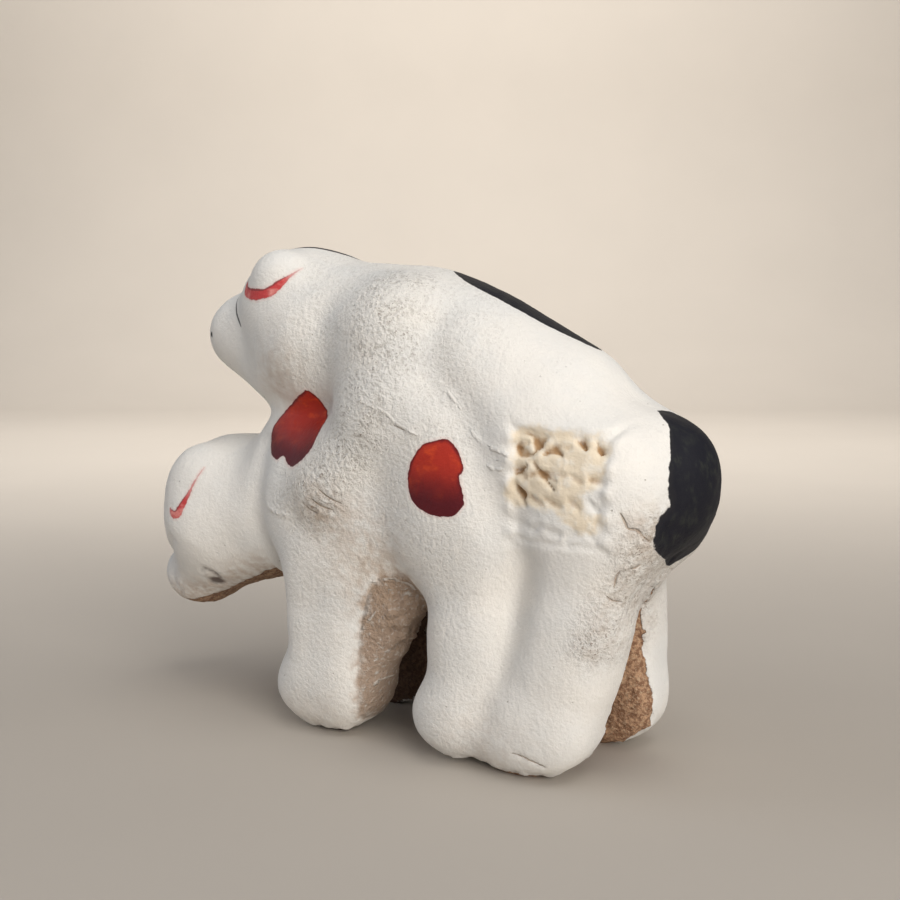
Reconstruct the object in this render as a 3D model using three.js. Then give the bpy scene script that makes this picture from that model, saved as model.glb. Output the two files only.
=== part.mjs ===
// A pocket-size clay charm of two dogs, one riding on the other's back, pressed in a two-part
// mould and fired as one solid lump.
// Units are millimetres and +Z is up. Both dogs face -X, and the stamped flank is towards -Y.
// The origin is on the ground, under the middle of the group.
import * as THREE from 'three';

// Driving dimensions

const GROUP = { length: 56.4, width: 19.4, height: 42.0 };
const CELL = 1.4; // edge of the cubes that the surface is worked out on
const SOLE_STEP = 0.35; // height of the lowest layer of cubes above the ground

// Heights above the ground
const CARRIER_SPINE = 20.0;
const RIDER_NECK = 33.7;
const BELLY = 12.6; // top of the channel that parts the left legs from the right ones

// Sideways distances from the middle plane
const LEG_SIDE = 4.6;
const HIP_SIDE = 4.4;
const HALF_CHANNEL = 2.4; // at the ground, narrowing to nothing at the belly
const CHANNEL_OFF_CENTRE = 0.4;
const CHANNEL_START = -11.8; // along the length, under the chest

const STAMP = {
  centre: { across: 18.6, up: 23.1 },
  halfWidth: 3.8,
  halfHeight: 4.2,
  tilt: -1,
  depth: 0.45,
  wall: 0.5,
};

// How widely neighbouring lumps of clay run into each other
const SOFT = 3.0;
const FIRM = 1.8;
const TIGHT = 0.8;

// Shapes: each one is a function of a point that gives its distance from the surface, negative inside

/** A rounded block. square is 2 for an ellipsoid and more for a boxier plan; stand is the same upright. */
function pillow({ at, half, square = 2, stand = square, lean = 0, turn = 0 }) {
  const centre = new THREE.Vector3(...at);
  const size = new THREE.Vector3(...half);
  const untilt = new THREE.Euler(0, THREE.MathUtils.degToRad(lean), THREE.MathUtils.degToRad(-turn), 'YZX');
  const local = new THREE.Vector3();
  return (point) => {
    local.copy(point).sub(centre).applyEuler(untilt).divide(size);
    const x = Math.abs(local.x) + 1e-9;
    const y = Math.abs(local.y) + 1e-9;
    const z = Math.abs(local.z) + 1e-9;
    const plan = (x ** square + y ** square) ** (1 / square);
    const reach = (plan ** stand + z ** stand) ** (1 / stand);
    const planSlope = Math.hypot(x ** (square - 1) / size.x, y ** (square - 1) / size.y);
    const slope = Math.hypot(plan ** (stand - square) * planSlope, z ** (stand - 1) / size.z);
    return (reach - 1) / (slope * reach ** (1 - stand));
  };
}

/** A tapering round bar between two points. widen stretches it sideways. */
function bar({ from, to, startRadius, endRadius, widen = 1 }) {
  const squash = new THREE.Vector3(1, 1 / widen, 1);
  const start = new THREE.Vector3(...from).multiply(squash);
  const span = new THREE.Vector3(...to).multiply(squash).sub(start);
  const offset = new THREE.Vector3();
  return (point) => {
    offset.copy(point).multiply(squash).sub(start);
    const along = THREE.MathUtils.clamp(offset.dot(span) / span.lengthSq(), 0, 1);
    const radius = THREE.MathUtils.lerp(startRadius, endRadius, along);
    return offset.addScaledVector(span, -along).length() - radius;
  };
}

/** The smaller of two distances, rounded off where they are within the blend width of each other. */
function softMin(a, b, width) {
  const share = THREE.MathUtils.clamp(0.5 + (b - a) / (2 * width), 0, 1);
  return THREE.MathUtils.lerp(b, a, share) - width * share * (1 - share);
}

/** Several lumps pressed together. */
function press(width, ...lumps) {
  return (point) => lumps.reduce((nearest, lump) => softMin(nearest, lump(point), width), 1e3);
}

/** A lump shown on the near flank and again on the far one. */
function bothSides(lump) {
  const mirrored = new THREE.Vector3();
  return (point) => lump(mirrored.set(point.x, -Math.abs(point.y), point.z));
}

/** A soft furrow pressed into both flanks along a curve through [x, z] points. */
function furrow({ through, depth, width }) {
  const curve = new THREE.SplineCurve(through.map(([x, z]) => new THREE.Vector2(x, z)));
  const stations = curve.getPoints(6 * through.length);
  const side = new THREE.Vector2();
  return (point) => {
    side.set(point.x, point.z);
    const nearest = Math.min(...stations.map((station) => station.distanceTo(side)));
    const onFlank = THREE.MathUtils.smoothstep(Math.abs(point.y), 2.5, 5);
    return depth * onFlank * Math.exp(-((nearest / width) ** 2));
  };
}

// The dog underneath

function carrierHead() {
  const skull = pillow({ at: [-20.4, 0, 18.1], half: [4.1, 6.3, 5.8], square: 2.2, lean: -10 });
  const jaw = bar({
    from: [-20.2, 0, 16.0], to: [-22.0, 0, 12.9], startRadius: 4.1, endRadius: 3.0, widen: 1.45,
  });
  const muzzle = pillow({ at: [-24.1, 0, 10.9], half: [3.9, 3.5, 3.2] });
  const ear = bothSides(pillow({ at: [-20.7, -4.0, 20.3], half: [2.9, 2.6, 3.6], lean: -25 }));
  return press(TIGHT, press(FIRM, press(SOFT, skull, jaw), muzzle), ear);
}

function carrierTrunk() {
  const trunk = bar({
    from: [-2.5, 0, CARRIER_SPINE + 0.5],
    to: [10.5, 0, CARRIER_SPINE - 0.5],
    startRadius: 7.6,
    endRadius: 8.8,
  });
  const neck = bar({
    from: [-7.5, 0, CARRIER_SPINE],
    to: [-18.5, 0, CARRIER_SPINE - 2.8],
    startRadius: 6.9,
    endRadius: 6.7,
  });
  const rump = pillow({ at: [17.1, 0, 17.5], half: [6.4, 6.0, 5.6], square: 2.2 });
  return press(SOFT, trunk, neck, rump);
}

/** A straight foreleg with a web of clay behind it, which narrows the belly's arch towards the top. */
function foreleg() {
  const foot = pillow({ at: [-4.9, -4.3, 4.0], half: [4.9, 3.7, 4.1], square: 3.4, stand: 2 });
  const web = bar({ from: [-2.2, -4.0, 4.5], to: [1.2, -3.9, 12.2], startRadius: 2.3, endRadius: 3.0 });
  const shin = pillow({ at: [-4.2, -LEG_SIDE, 10.5], half: [4.0, 3.6, 7.5], square: 3.6, stand: 2.8 });
  const shoulder = pillow({ at: [-3.5, -LEG_SIDE, 18.5], half: [7.2, 4.2, 7.6], square: 2.2 });
  return press(FIRM, foot, shin, shoulder, web);
}

function carrierThigh() {
  const hip = pillow({ at: [9.5, -HIP_SIDE, 20.5], half: [7.0, 5.0, 8.2], square: 2.2 });
  const thigh = pillow({ at: [10.5, -4.8, 9.8], half: [4.6, 4.0, 8.2], square: 2.3, stand: 2.6 });
  const flank = pillow({ at: [5.0, -HIP_SIDE, 26.0], half: [6.0, 4.4, 5.5], square: 2.2 });
  return press(FIRM, hip, thigh, flank);
}

// The dog on top

function riderHead() {
  const skull = pillow({ at: [-10.6, 0, 36.2], half: [6.0, 6.8, 5.6] });
  const muzzle = pillow({ at: [-15.9, 0, 34.4], half: [3.6, 4.3, 3.6], square: 2.2 });
  const jaw = bar({
    from: [-17.7, 0, 34.0], to: [-11.5, 0, 31.5], startRadius: 3.3, endRadius: 4.6, widen: 1.25,
  });
  const ear = bothSides(pillow({ at: [-10.3, -4.1, 38.6], half: [2.9, 2.7, 2.8], lean: 25 }));
  return press(TIGHT, press(FIRM, skull, muzzle, jaw), ear);
}

function riderTrunk() {
  const back = bar({ from: [6.4, 0, 29.9], to: [13.0, 0, 26.1], startRadius: 8.1, endRadius: 8.3 });
  const neck = bar({
    from: [1.4, 0, RIDER_NECK],
    to: [-6.9, 0, RIDER_NECK - 0.2],
    startRadius: 6.2,
    endRadius: 7.1,
    widen: 1.12,
  });
  const tail = pillow({ at: [23.1, 0, 22.9], half: [4.6, 3.8, 5.1], square: 2.2, lean: -6 });
  const haunch = bothSides(pillow({ at: [18.6, -4.2, 21.7], half: [7.2, 5.0, 6.9], square: 2.3 }));
  return press(SOFT, back, neck, haunch, tail);
}

/** The foreleg that the rider hangs over the carrier's shoulder. */
function clingingLeg() {
  const elbow = [1.5, -5.1, 28.5];
  const upper = bar({ from: [1.7, -4.7, 34.2], to: elbow, startRadius: 3.9, endRadius: 3.8 });
  const lower = bar({ from: elbow, to: [-2.7, -5.9, 21.8], startRadius: 3.8, endRadius: 3.1 });
  return press(FIRM, upper, lower);
}

// The hind legs of both dogs run into one broad foot on each side. The far one was pressed a bit longer.

function hindLegs() {
  const near = pillow({ at: [17.5, -4.5, 11.0], half: [4.9, 4.0, 9.5], square: 2.5, lean: -14 });
  const far = pillow({ at: [17.1, LEG_SIDE, 10.5], half: [4.6, 3.8, 9.0], square: 2.6, lean: 1 });
  const nearFoot = pillow({
    at: [12.3, -4.7, 3.8], half: [7.6, 3.9, 4.1], square: 3.4, stand: 2.2, turn: 3,
  });
  const farFoot = pillow({ at: [13.8, 5.1, 4.1], half: [7.8, 3.7, 4.4], square: 3.2, stand: 2.2 });
  return press(FIRM, near, far, nearFoot, farFoot);
}

// The whole lump

/** The sunk square left by a stamp on the near haunch, following the flank. */
function stampedPanel(point) {
  const { across, up } = STAMP.centre;
  const tilt = THREE.MathUtils.degToRad(STAMP.tilt);
  const along = (point.x - across) * Math.cos(tilt) + (point.z - up) * Math.sin(tilt);
  const upright = (point.z - up) * Math.cos(tilt) - (point.x - across) * Math.sin(tilt);
  const inside = Math.min(STAMP.halfWidth - Math.abs(along), STAMP.halfHeight - Math.abs(upright));
  const onNearFlank = point.y < 0 ? 1 : 0;
  return STAMP.depth * onNearFlank * THREE.MathUtils.smoothstep(inside, -STAMP.wall, STAMP.wall);
}

const furrows = [
  // between the rider's haunch and the carrier's hip, down to the foot that they share
  furrow({
    through: [
      [6.3, 34.5], [7.1, 31.8], [10.4, 28.0], [13.1, 22.6],
      [15.3, 18.0], [14.5, 12.0], [12.1, 6.5], [10.7, 1.0],
    ],
    depth: 0.6,
    width: 1.9,
  }),
  // in front of the clinging leg, and behind and under its paw
  furrow({ through: [[-3.9, 35.0], [-3.5, 29.5], [-4.5, 25.6], [-7.1, 22.4]], depth: 0.2, width: 1.8 }),
  furrow({ through: [[4.1, 26.6], [0.9, 21.4], [-2.5, 18.4], [-5.5, 18.6]], depth: 0.25, width: 1.5 }),
  // where the lower head meets the shoulder
  furrow({ through: [[-10.9, 24.4], [-11.2, 20.0], [-10.9, 16.6], [-9.9, 13.4]], depth: 0.45, width: 1.2 }),
];

/** The wedge-shaped channel between the left and right legs, which starts behind the lower head. */
function channel(point) {
  const half = HALF_CHANNEL * (1 - point.z / BELLY);
  const wedge = (Math.abs(point.y - CHANNEL_OFF_CENTRE) - half) / Math.hypot(1, HALF_CHANNEL / BELLY);
  return Math.max(wedge, CHANNEL_START - point.x);
}

function clayLump() {
  const carrier = press(FIRM, press(SOFT, carrierTrunk(), carrierHead()), bothSides(carrierThigh()));
  const chest = pillow({ at: [-7.7, 0, 21.7], half: [7.3, 7.2, 7.2], square: 2.3, lean: -12 });
  const rider = press(FIRM, riderTrunk(), riderHead());
  const clay = press(FIRM, carrier, chest, bothSides(foreleg()), rider, hindLegs());
  const clasped = press(SOFT, clay, bothSides(clingingLeg()));
  return (point) => {
    const depth = furrows.reduce((sum, groove) => sum + groove(point), stampedPanel(point));
    return -softMin(-clasped(point) - depth, channel(point), TIGHT);
  };
}

// Surface: one vertex in each cube that the surface crosses, one quad round each cube edge it crosses

/** The surface where a form is zero, above the ground, as a closed mesh with flat soles at z = 0. */
function mouldedSurface(form, size, cell) {
  const margin = 1.5 * cell;
  const spans = [size.length, size.width, size.height];
  const count = spans.map((span) => Math.ceil((span + 2 * margin) / cell) + 1);
  const half = count.map((planes) => ((planes - 1) / 2) * cell);
  const origin = new THREE.Vector3(-half[0], -half[1], SOLE_STEP - cell);
  const stride = [1, count[0], count[0] * count[1]];
  const corner = (i, j, k) => i + j * stride[1] + k * stride[2];
  const place = (i, j, k) => new THREE.Vector3(i, j, k).multiplyScalar(cell).add(origin);

  const distance = new Float64Array(stride[2] * count[2]);
  for (let k = 0; k < count[2]; k += 1) {
    for (let j = 0; j < count[1]; j += 1) {
      for (let i = 0; i < count[0]; i += 1) {
        distance[corner(i, j, k)] = k === 0 ? cell / 2 : form(place(i, j, k));
      }
    }
  }

  const positions = [];
  const vertexOf = new Map();
  const edges = cubeEdges();
  for (let k = 0; k < count[2] - 1; k += 1) {
    for (let j = 0; j < count[1] - 1; j += 1) {
      for (let i = 0; i < count[0] - 1; i += 1) {
        const crossings = [];
        for (const [a, b] of edges) {
          const near = distance[corner(i + a[0], j + a[1], k + a[2])];
          const far = distance[corner(i + b[0], j + b[1], k + b[2])];
          if (near < 0 !== far < 0) {
            const start = place(i + a[0], j + a[1], k + a[2]);
            crossings.push(start.lerp(place(i + b[0], j + b[1], k + b[2]), near / (near - far)));
          }
        }
        if (crossings.length > 0) {
          const vertex = crossings.reduce((sum, crossing) => sum.add(crossing));
          vertex.divideScalar(crossings.length);
          const isSole = k === 0;
          if (isSole) {
            vertex.z = 0;
          }
          if (!isSole || form(vertex) > -cell / 3) {
            settle(vertex, form, isSole ? 2 : 3);
          }
          vertexOf.set(corner(i, j, k), positions.length / 3);
          positions.push(vertex.x, vertex.y, vertex.z);
        }
      }
    }
  }

  const triangles = [];
  for (let k = 0; k < count[2]; k += 1) {
    for (let j = 0; j < count[1]; j += 1) {
      for (let i = 0; i < count[0]; i += 1) {
        for (let axis = 0; axis < 3; axis += 1) {
          const here = corner(i, j, k);
          const step = [i, j, k][axis] + 1 < count[axis] ? stride[axis] : 0;
          if (step > 0 && distance[here] < 0 !== distance[here + step] < 0) {
            const u = stride[(axis + 1) % 3];
            const v = stride[(axis + 2) % 3];
            const ring = [here, here - u, here - u - v, here - v].map((cube) => vertexOf.get(cube));
            if (distance[here] >= 0) {
              ring.reverse();
            }
            triangles.push(...splitQuad(ring, positions));
          }
        }
      }
    }
  }

  const geometry = new THREE.BufferGeometry();
  geometry.setAttribute('position', new THREE.Float32BufferAttribute(positions, 3));
  geometry.setIndex(triangles);
  geometry.computeVertexNormals();
  return geometry;
}

/** The twelve edges of a unit cube, as pairs of corners. */
function cubeEdges() {
  const corners = [];
  for (let n = 0; n < 8; n += 1) {
    corners.push([n & 1, (n >> 1) & 1, (n >> 2) & 1]);
  }
  const apart = (a, b) => a.reduce((sum, value, axis) => sum + Math.abs(value - b[axis]), 0);
  const next = (a, n) => corners.slice(n + 1).filter((b) => apart(a, b) === 1);
  return corners.flatMap((a, n) => next(a, n).map((b) => [a, b]));
}

/** Moves a vertex onto the true surface down the slope of the form, along its first axes. */
function settle(vertex, form, axes) {
  const probe = 0.05;
  const slope = new THREE.Vector3();
  const offset = new THREE.Vector3();
  for (let pass = 0; pass < 2; pass += 1) {
    for (let axis = 0; axis < axes; axis += 1) {
      offset.set(0, 0, 0).setComponent(axis, probe);
      const ahead = form(offset.clone().add(vertex));
      const behind = form(vertex.clone().sub(offset));
      slope.setComponent(axis, (ahead - behind) / (2 * probe));
    }
    const move = -form(vertex) / Math.max(slope.lengthSq(), 0.25);
    vertex.addScaledVector(slope, THREE.MathUtils.clamp(move, -CELL / 3, CELL / 3));
  }
}

/** Two triangles for a ring of four vertices, split along its shorter diagonal. */
function splitQuad(ring, positions) {
  const [a, b, c, d] = ring.map((vertex) => new THREE.Vector3().fromArray(positions, 3 * vertex));
  const [p, q, r, s] = ring;
  return a.distanceTo(c) <= b.distanceTo(d) ? [p, q, r, p, r, s] : [p, q, s, q, r, s];
}

const chalk = new THREE.MeshStandardMaterial({ color: 0xece7df, roughness: 0.85, metalness: 0 });

const dogs = new THREE.Mesh(mouldedSurface(clayLump(), GROUP, CELL), chalk);
dogs.name = 'clay_dogs';

const figurine = new THREE.Group();
figurine.add(dogs);

export default figurine;
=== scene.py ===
"""A pocket-size clay charm of two dogs, one riding on the other's back, with its chalk coat and paint.

Sizes are millimetres, as in the part: both dogs face -X, the stamped flank is towards -Y and the
ground is at zero height. They become metres when the mesh is made.
"""

import logging
import math
from collections.abc import Sequence
from dataclasses import dataclass, field
from enum import Enum
from typing import Protocol

import bpy
import numpy as np
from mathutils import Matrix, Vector

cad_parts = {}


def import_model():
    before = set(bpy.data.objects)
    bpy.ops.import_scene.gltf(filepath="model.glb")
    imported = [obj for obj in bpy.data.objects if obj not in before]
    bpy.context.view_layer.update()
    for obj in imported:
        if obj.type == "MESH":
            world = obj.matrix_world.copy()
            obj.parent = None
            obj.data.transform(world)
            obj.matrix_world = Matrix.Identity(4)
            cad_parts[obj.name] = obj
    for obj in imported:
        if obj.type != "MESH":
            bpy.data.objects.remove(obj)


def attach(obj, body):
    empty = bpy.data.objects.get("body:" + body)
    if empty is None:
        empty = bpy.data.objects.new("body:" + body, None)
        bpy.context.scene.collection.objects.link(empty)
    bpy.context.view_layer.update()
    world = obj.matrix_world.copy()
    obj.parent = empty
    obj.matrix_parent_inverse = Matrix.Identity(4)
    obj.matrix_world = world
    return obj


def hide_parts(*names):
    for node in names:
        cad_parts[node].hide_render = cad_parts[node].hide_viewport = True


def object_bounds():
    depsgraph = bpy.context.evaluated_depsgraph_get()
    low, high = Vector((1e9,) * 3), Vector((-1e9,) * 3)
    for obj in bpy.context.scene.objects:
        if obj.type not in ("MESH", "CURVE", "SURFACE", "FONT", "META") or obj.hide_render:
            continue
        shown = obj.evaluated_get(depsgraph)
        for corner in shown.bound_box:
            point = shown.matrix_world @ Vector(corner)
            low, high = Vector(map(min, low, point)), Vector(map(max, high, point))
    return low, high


log = logging.getLogger("clay_dogs")

Array = np.ndarray
Place = tuple[float, float, float]
Spot = tuple[float, float]
Range = tuple[float, float]
Colour = tuple[float, float, float]

MM = 0.001
CAD_NODE = "clay_dogs"
SLOT = "painted_clay"

# How widely neighbouring lumps of clay run into each other
SOFT = 3.0
FIRM = 1.8
TIGHT = 0.8

# Keeps powers of zero finite
TINY = 1e-9

# Strength of the plain reflection on every finish
REFLECTANCE = 0.27

# Depth and half width given to places that a mark doesn't reach, and the distance of no shape at all
OUTSIDE = -5.0
UNREACHED = -1.0
FAR_AWAY = 1e3


# Plain shapes


class Shape(Protocol):
    """Anything that gives its distance from points."""

    def distance(self, points: Array) -> Array:
        """Distance from the surface in millimetres, negative inside."""


def smooth_step(values: Array, low: float, high: float) -> Array:
    """Rises from 0 at low to 1 at high as 3t^2 - 2t^3."""
    t = np.clip((values - low) / (high - low), 0, 1)
    return t * t * (3 - 2 * t)


def bell(values: Array, width: float) -> Array:
    """A bell curve, 1 at zero: e to the power of -(value / width)^2."""
    return np.exp(-((values / width) ** 2))


def soft_min(a: Array, b: Array, width: float) -> Array:
    """The smaller of two distances, rounded off where they are within the blend width of each other.

    Args:
        a: First distances.
        b: Second distances.
        width: Blend width in millimetres.

    Returns:
        The straight mix of both by a clipped share, less width * share * (1 - share).
    """
    share = np.clip(0.5 + (b - a) / (2 * width), 0, 1)
    return b + (a - b) * share - width * share * (1 - share)


@dataclass(frozen=True)
class Pillow:
    """A rounded block.

    square is 2 for an ellipsoid and more for a boxier plan, and stand is the same for its upright
    outline. lean and turn are degrees about the y and z axes.
    """

    at: Place
    half: Place
    square: float = 2.0
    stand: float | None = None
    lean: float = 0.0
    turn: float = 0.0

    def distance(self, points: Array) -> Array:
        """Distance is (reach - 1) / slope, with reach^q = plan^q + z^q and plan^p = x^p + y^p in half sizes.

        Args:
            points: Rows of x, y and z.

        Returns:
            Distance from the surface, true near it.
        """
        p, q = self.square, self.stand or self.square
        turn, lean = math.radians(self.turn), math.radians(self.lean)
        x, y, z = points - np.array(self.at)[:, None]
        x, y = x * math.cos(turn) + y * math.sin(turn), y * math.cos(turn) - x * math.sin(turn)
        x, z = x * math.cos(lean) + z * math.sin(lean), z * math.cos(lean) - x * math.sin(lean)
        x, y, z = (np.abs(value) / size + TINY for value, size in zip((x, y, z), self.half))
        plan = (x**p + y**p) ** (1 / p)
        reach = (plan**q + z**q) ** (1 / q)
        plan_slope = np.hypot(x ** (p - 1) / self.half[0], y ** (p - 1) / self.half[1])
        slope = np.hypot(plan ** (q - p) * plan_slope, z ** (q - 1) / self.half[2])
        return (reach - 1) / (slope * reach ** (1 - q))


@dataclass(frozen=True)
class Bar:
    """A tapering round bar between two points. widen stretches it sideways."""

    start: Place
    end: Place
    radii: tuple[float, float]
    widen: float = 1.0

    def distance(self, points: Array) -> Array:
        """Distance to the nearest point of the middle line, less the radius that the bar has there.

        Args:
            points: Rows of x, y and z.

        Returns:
            Distance from the surface.
        """
        squash = np.array((1, 1 / self.widen, 1))
        start = np.array(self.start) * squash
        span = np.array(self.end) * squash - start
        offset = points * squash[:, None] - start[:, None]
        along = np.clip(span @ offset / (span @ span), 0, 1)
        radius = self.radii[0] + (self.radii[1] - self.radii[0]) * along
        return np.linalg.norm(offset - span[:, None] * along, axis=0) - radius


@dataclass(frozen=True)
class BothSides:
    """A lump shown on the near flank and again on the far one."""

    lump: Shape

    def distance(self, points: Array) -> Array:
        """The lump's own distance, with every point folded over to the near flank."""
        return self.lump.distance(np.stack((points[0], -np.abs(points[1]), points[2])))


@dataclass(frozen=True)
class Pressed:
    """Several lumps pressed together."""

    width: float
    lumps: tuple[Shape, ...]

    def distance(self, points: Array) -> Array:
        """The soft minimum of the lumps' distances, taken one after another."""
        nearest = np.full(points.shape[1], FAR_AWAY)
        for lump in self.lumps:
            nearest = soft_min(nearest, lump.distance(points), self.width)
        return nearest


def press(width: float, *lumps: Shape) -> Pressed:
    """Several lumps pressed together."""
    return Pressed(width, lumps)


# Lines drawn on a flank


def smooth_line(through: Sequence[Spot], closed: bool = False, steps: int = 8) -> Array:
    """A curve through points of a plane: a Catmull-Rom cubic on each span.

    Args:
        through: The points, in order.
        closed: Whether the curve returns to its first point.
        steps: Number of places on each span.

    Returns:
        Two rows of coordinates along the curve.
    """
    knots = np.array(through, float).T
    count = knots.shape[1]
    first = np.arange(count if closed else count - 1)
    around = [first + shift for shift in (-1, 0, 1, 2)]
    picks = [i % count if closed else np.clip(i, 0, count - 1) for i in around]
    a, b, c, d = (knots[:, i, None] for i in picks)
    t = np.arange(steps) / steps
    cubic = (-a + 3 * b - 3 * c + d) * t**3 + (2 * a - 5 * b + 4 * c - d) * t**2
    line = (2 * b + (c - a) * t + cubic).reshape(2, -1) / 2
    last = line[:, :1] if closed else knots[:, -1:]
    return np.hstack((line, last))


@dataclass(frozen=True)
class Nearest:
    """Where points lie beside a line: distance, side (+1 on its left), way along it, way past its ends."""

    gap: Array
    side: Array
    along: Array
    beyond: Array


def beside(line: Array, plane: Array) -> Nearest:
    """Finds each point's nearest place on a line, one straight span of the line after another.

    Args:
        line: Two rows of coordinates along the line.
        plane: Two rows of coordinates of the points.

    Returns:
        The nearest places.
    """
    count = plane.shape[1]
    gap, side, along, beyond = np.full(count, np.inf), np.ones(count), np.zeros(count), np.zeros(count)
    spans = np.diff(line, axis=1).T
    lengths = np.hypot(*spans.T)
    travelled = np.concatenate(([0], np.cumsum(lengths)))
    last = len(spans) - 1
    for number, (start, span, length) in enumerate(zip(line.T, spans, lengths)):
        offset = plane - start[:, None]
        way = span @ offset / length
        held = np.clip(way, 0, length)
        rest = offset - np.outer(span / length, held)
        distance = np.hypot(*rest)
        nearer = distance < gap
        over = np.where(way < 0, -way if number == 0 else 0, 0)
        over = np.where(way > length, way - length if number == last else 0, over)
        gap = np.where(nearer, distance, gap)
        side = np.where(nearer, np.where(span[0] * offset[1] >= span[1] * offset[0], 1, -1), side)
        along = np.where(nearer, travelled[number] + held, along)
        beyond = np.where(nearer, over, beyond)
    return Nearest(gap, side, along / travelled[-1], beyond)


@dataclass(frozen=True)
class Outline:
    """A closed, rounded outline in a plane."""

    through: tuple[Spot, ...]

    def depth(self, plane: Array) -> Array:
        """How deep points lie inside: the distance to the outline, negative outside.

        Args:
            plane: Two rows of coordinates.

        Returns:
            Distances in millimetres.
        """
        line = smooth_line(self.through, closed=True)
        inside = np.zeros(plane.shape[1], bool)
        for (x0, y0), (x1, y1) in zip(line.T[:-1], line.T[1:]):
            level = (y0 > plane[1]) != (y1 > plane[1])
            if y0 != y1:
                inside ^= level & (plane[0] < x0 + (plane[1] - y0) * (x1 - x0) / (y1 - y0))
        return np.where(inside, 1, -1) * beside(line, plane).gap


@dataclass(frozen=True)
class Stroke:
    """A brush stroke or scratch along a curve, with its half width at even steps from start to end."""

    through: tuple[Spot, ...]
    half_widths: tuple[float, ...]
    neighbourhood: float = 1.2
    tip_taper: float = 2.0

    def across(self, plane: Array) -> tuple[Array, Array]:
        """Signed offset from the curve, and the half width of the stroke, which shrinks past its ends.

        Away from the curve the half width is negative, so that no mark appears where two strokes meet.

        Args:
            plane: Two rows of coordinates.

        Returns:
            Offsets and half widths, both in millimetres.
        """
        near = beside(smooth_line(self.through), plane)
        stations = np.linspace(0, 1, len(self.half_widths))
        width = np.interp(near.along, stations, self.half_widths) - self.tip_taper * near.beyond
        return near.side * near.gap, np.where(near.gap < self.neighbourhood, width, UNREACHED)

    def depth(self, plane: Array) -> Array:
        """How deep points lie inside the stroke, negative outside."""
        across, reach = self.across(plane)
        return reach - np.abs(across)


@dataclass(frozen=True)
class Furrow:
    """A soft furrow pressed into both flanks along a curve through (x, z) points."""

    through: tuple[Spot, ...]
    depth: float
    width: float
    fade_in: Range = (2.5, 5.0)

    def sunk(self, points: Array) -> Array:
        """Depth at points: a bell curve over the distance from the line, less towards the middle plane."""
        gap = beside(smooth_line(self.through, steps=5), points[[0, 2]]).gap
        return self.depth * smooth_step(np.abs(points[1]), *self.fade_in) * bell(gap, self.width)


# The two dogs


@dataclass(frozen=True)
class Carrier:
    """The dog underneath: head, trunk, forelegs and thighs."""

    spine: float = 20.0
    leg_side: float = 4.6
    hip_side: float = 4.4

    def head(self) -> Shape:
        """Skull, jaw, muzzle and two low ears."""
        skull = Pillow((-20.4, 0, 18.1), (4.1, 6.3, 5.8), square=2.2, lean=-10)
        jaw = Bar((-20.2, 0, 16.0), (-22.0, 0, 12.9), (4.1, 3.0), widen=1.45)
        muzzle = Pillow((-24.1, 0, 10.9), (3.9, 3.5, 3.2))
        ear = BothSides(Pillow((-20.7, -4.0, 20.3), (2.9, 2.6, 3.6), lean=-25))
        return press(TIGHT, press(FIRM, press(SOFT, skull, jaw), muzzle), ear)

    def trunk(self) -> Shape:
        """Barrel, neck and rump."""
        barrel = Bar((-2.5, 0, self.spine + 0.5), (10.5, 0, self.spine - 0.5), (7.6, 8.8))
        neck = Bar((-7.5, 0, self.spine), (-18.5, 0, self.spine - 2.8), (6.9, 6.7))
        rump = Pillow((17.1, 0, 17.5), (6.4, 6.0, 5.6), square=2.2)
        return press(SOFT, barrel, neck, rump)

    def foreleg(self) -> Shape:
        """A straight foreleg with a web of clay behind it, which narrows the arch towards the top."""
        foot = Pillow((-4.9, -4.3, 4.0), (4.9, 3.7, 4.1), square=3.4, stand=2)
        web = Bar((-2.2, -4.0, 4.5), (1.2, -3.9, 12.2), (2.3, 3.0))
        shin = Pillow((-4.2, -self.leg_side, 10.5), (4.0, 3.6, 7.5), square=3.6, stand=2.8)
        shoulder = Pillow((-3.5, -self.leg_side, 18.5), (7.2, 4.2, 7.6), square=2.2)
        return press(FIRM, foot, shin, shoulder, web)

    def thigh(self) -> Shape:
        """Hip, thigh and the flank above them."""
        hip = Pillow((9.5, -self.hip_side, 20.5), (7.0, 5.0, 8.2), square=2.2)
        thigh = Pillow((10.5, -4.8, 9.8), (4.6, 4.0, 8.2), square=2.3, stand=2.6)
        flank = Pillow((5.0, -self.hip_side, 26.0), (6.0, 4.4, 5.5), square=2.2)
        return press(FIRM, hip, thigh, flank)

    def body(self) -> Shape:
        """Trunk, head and thighs in one."""
        return press(FIRM, press(SOFT, self.trunk(), self.head()), BothSides(self.thigh()))


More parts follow.
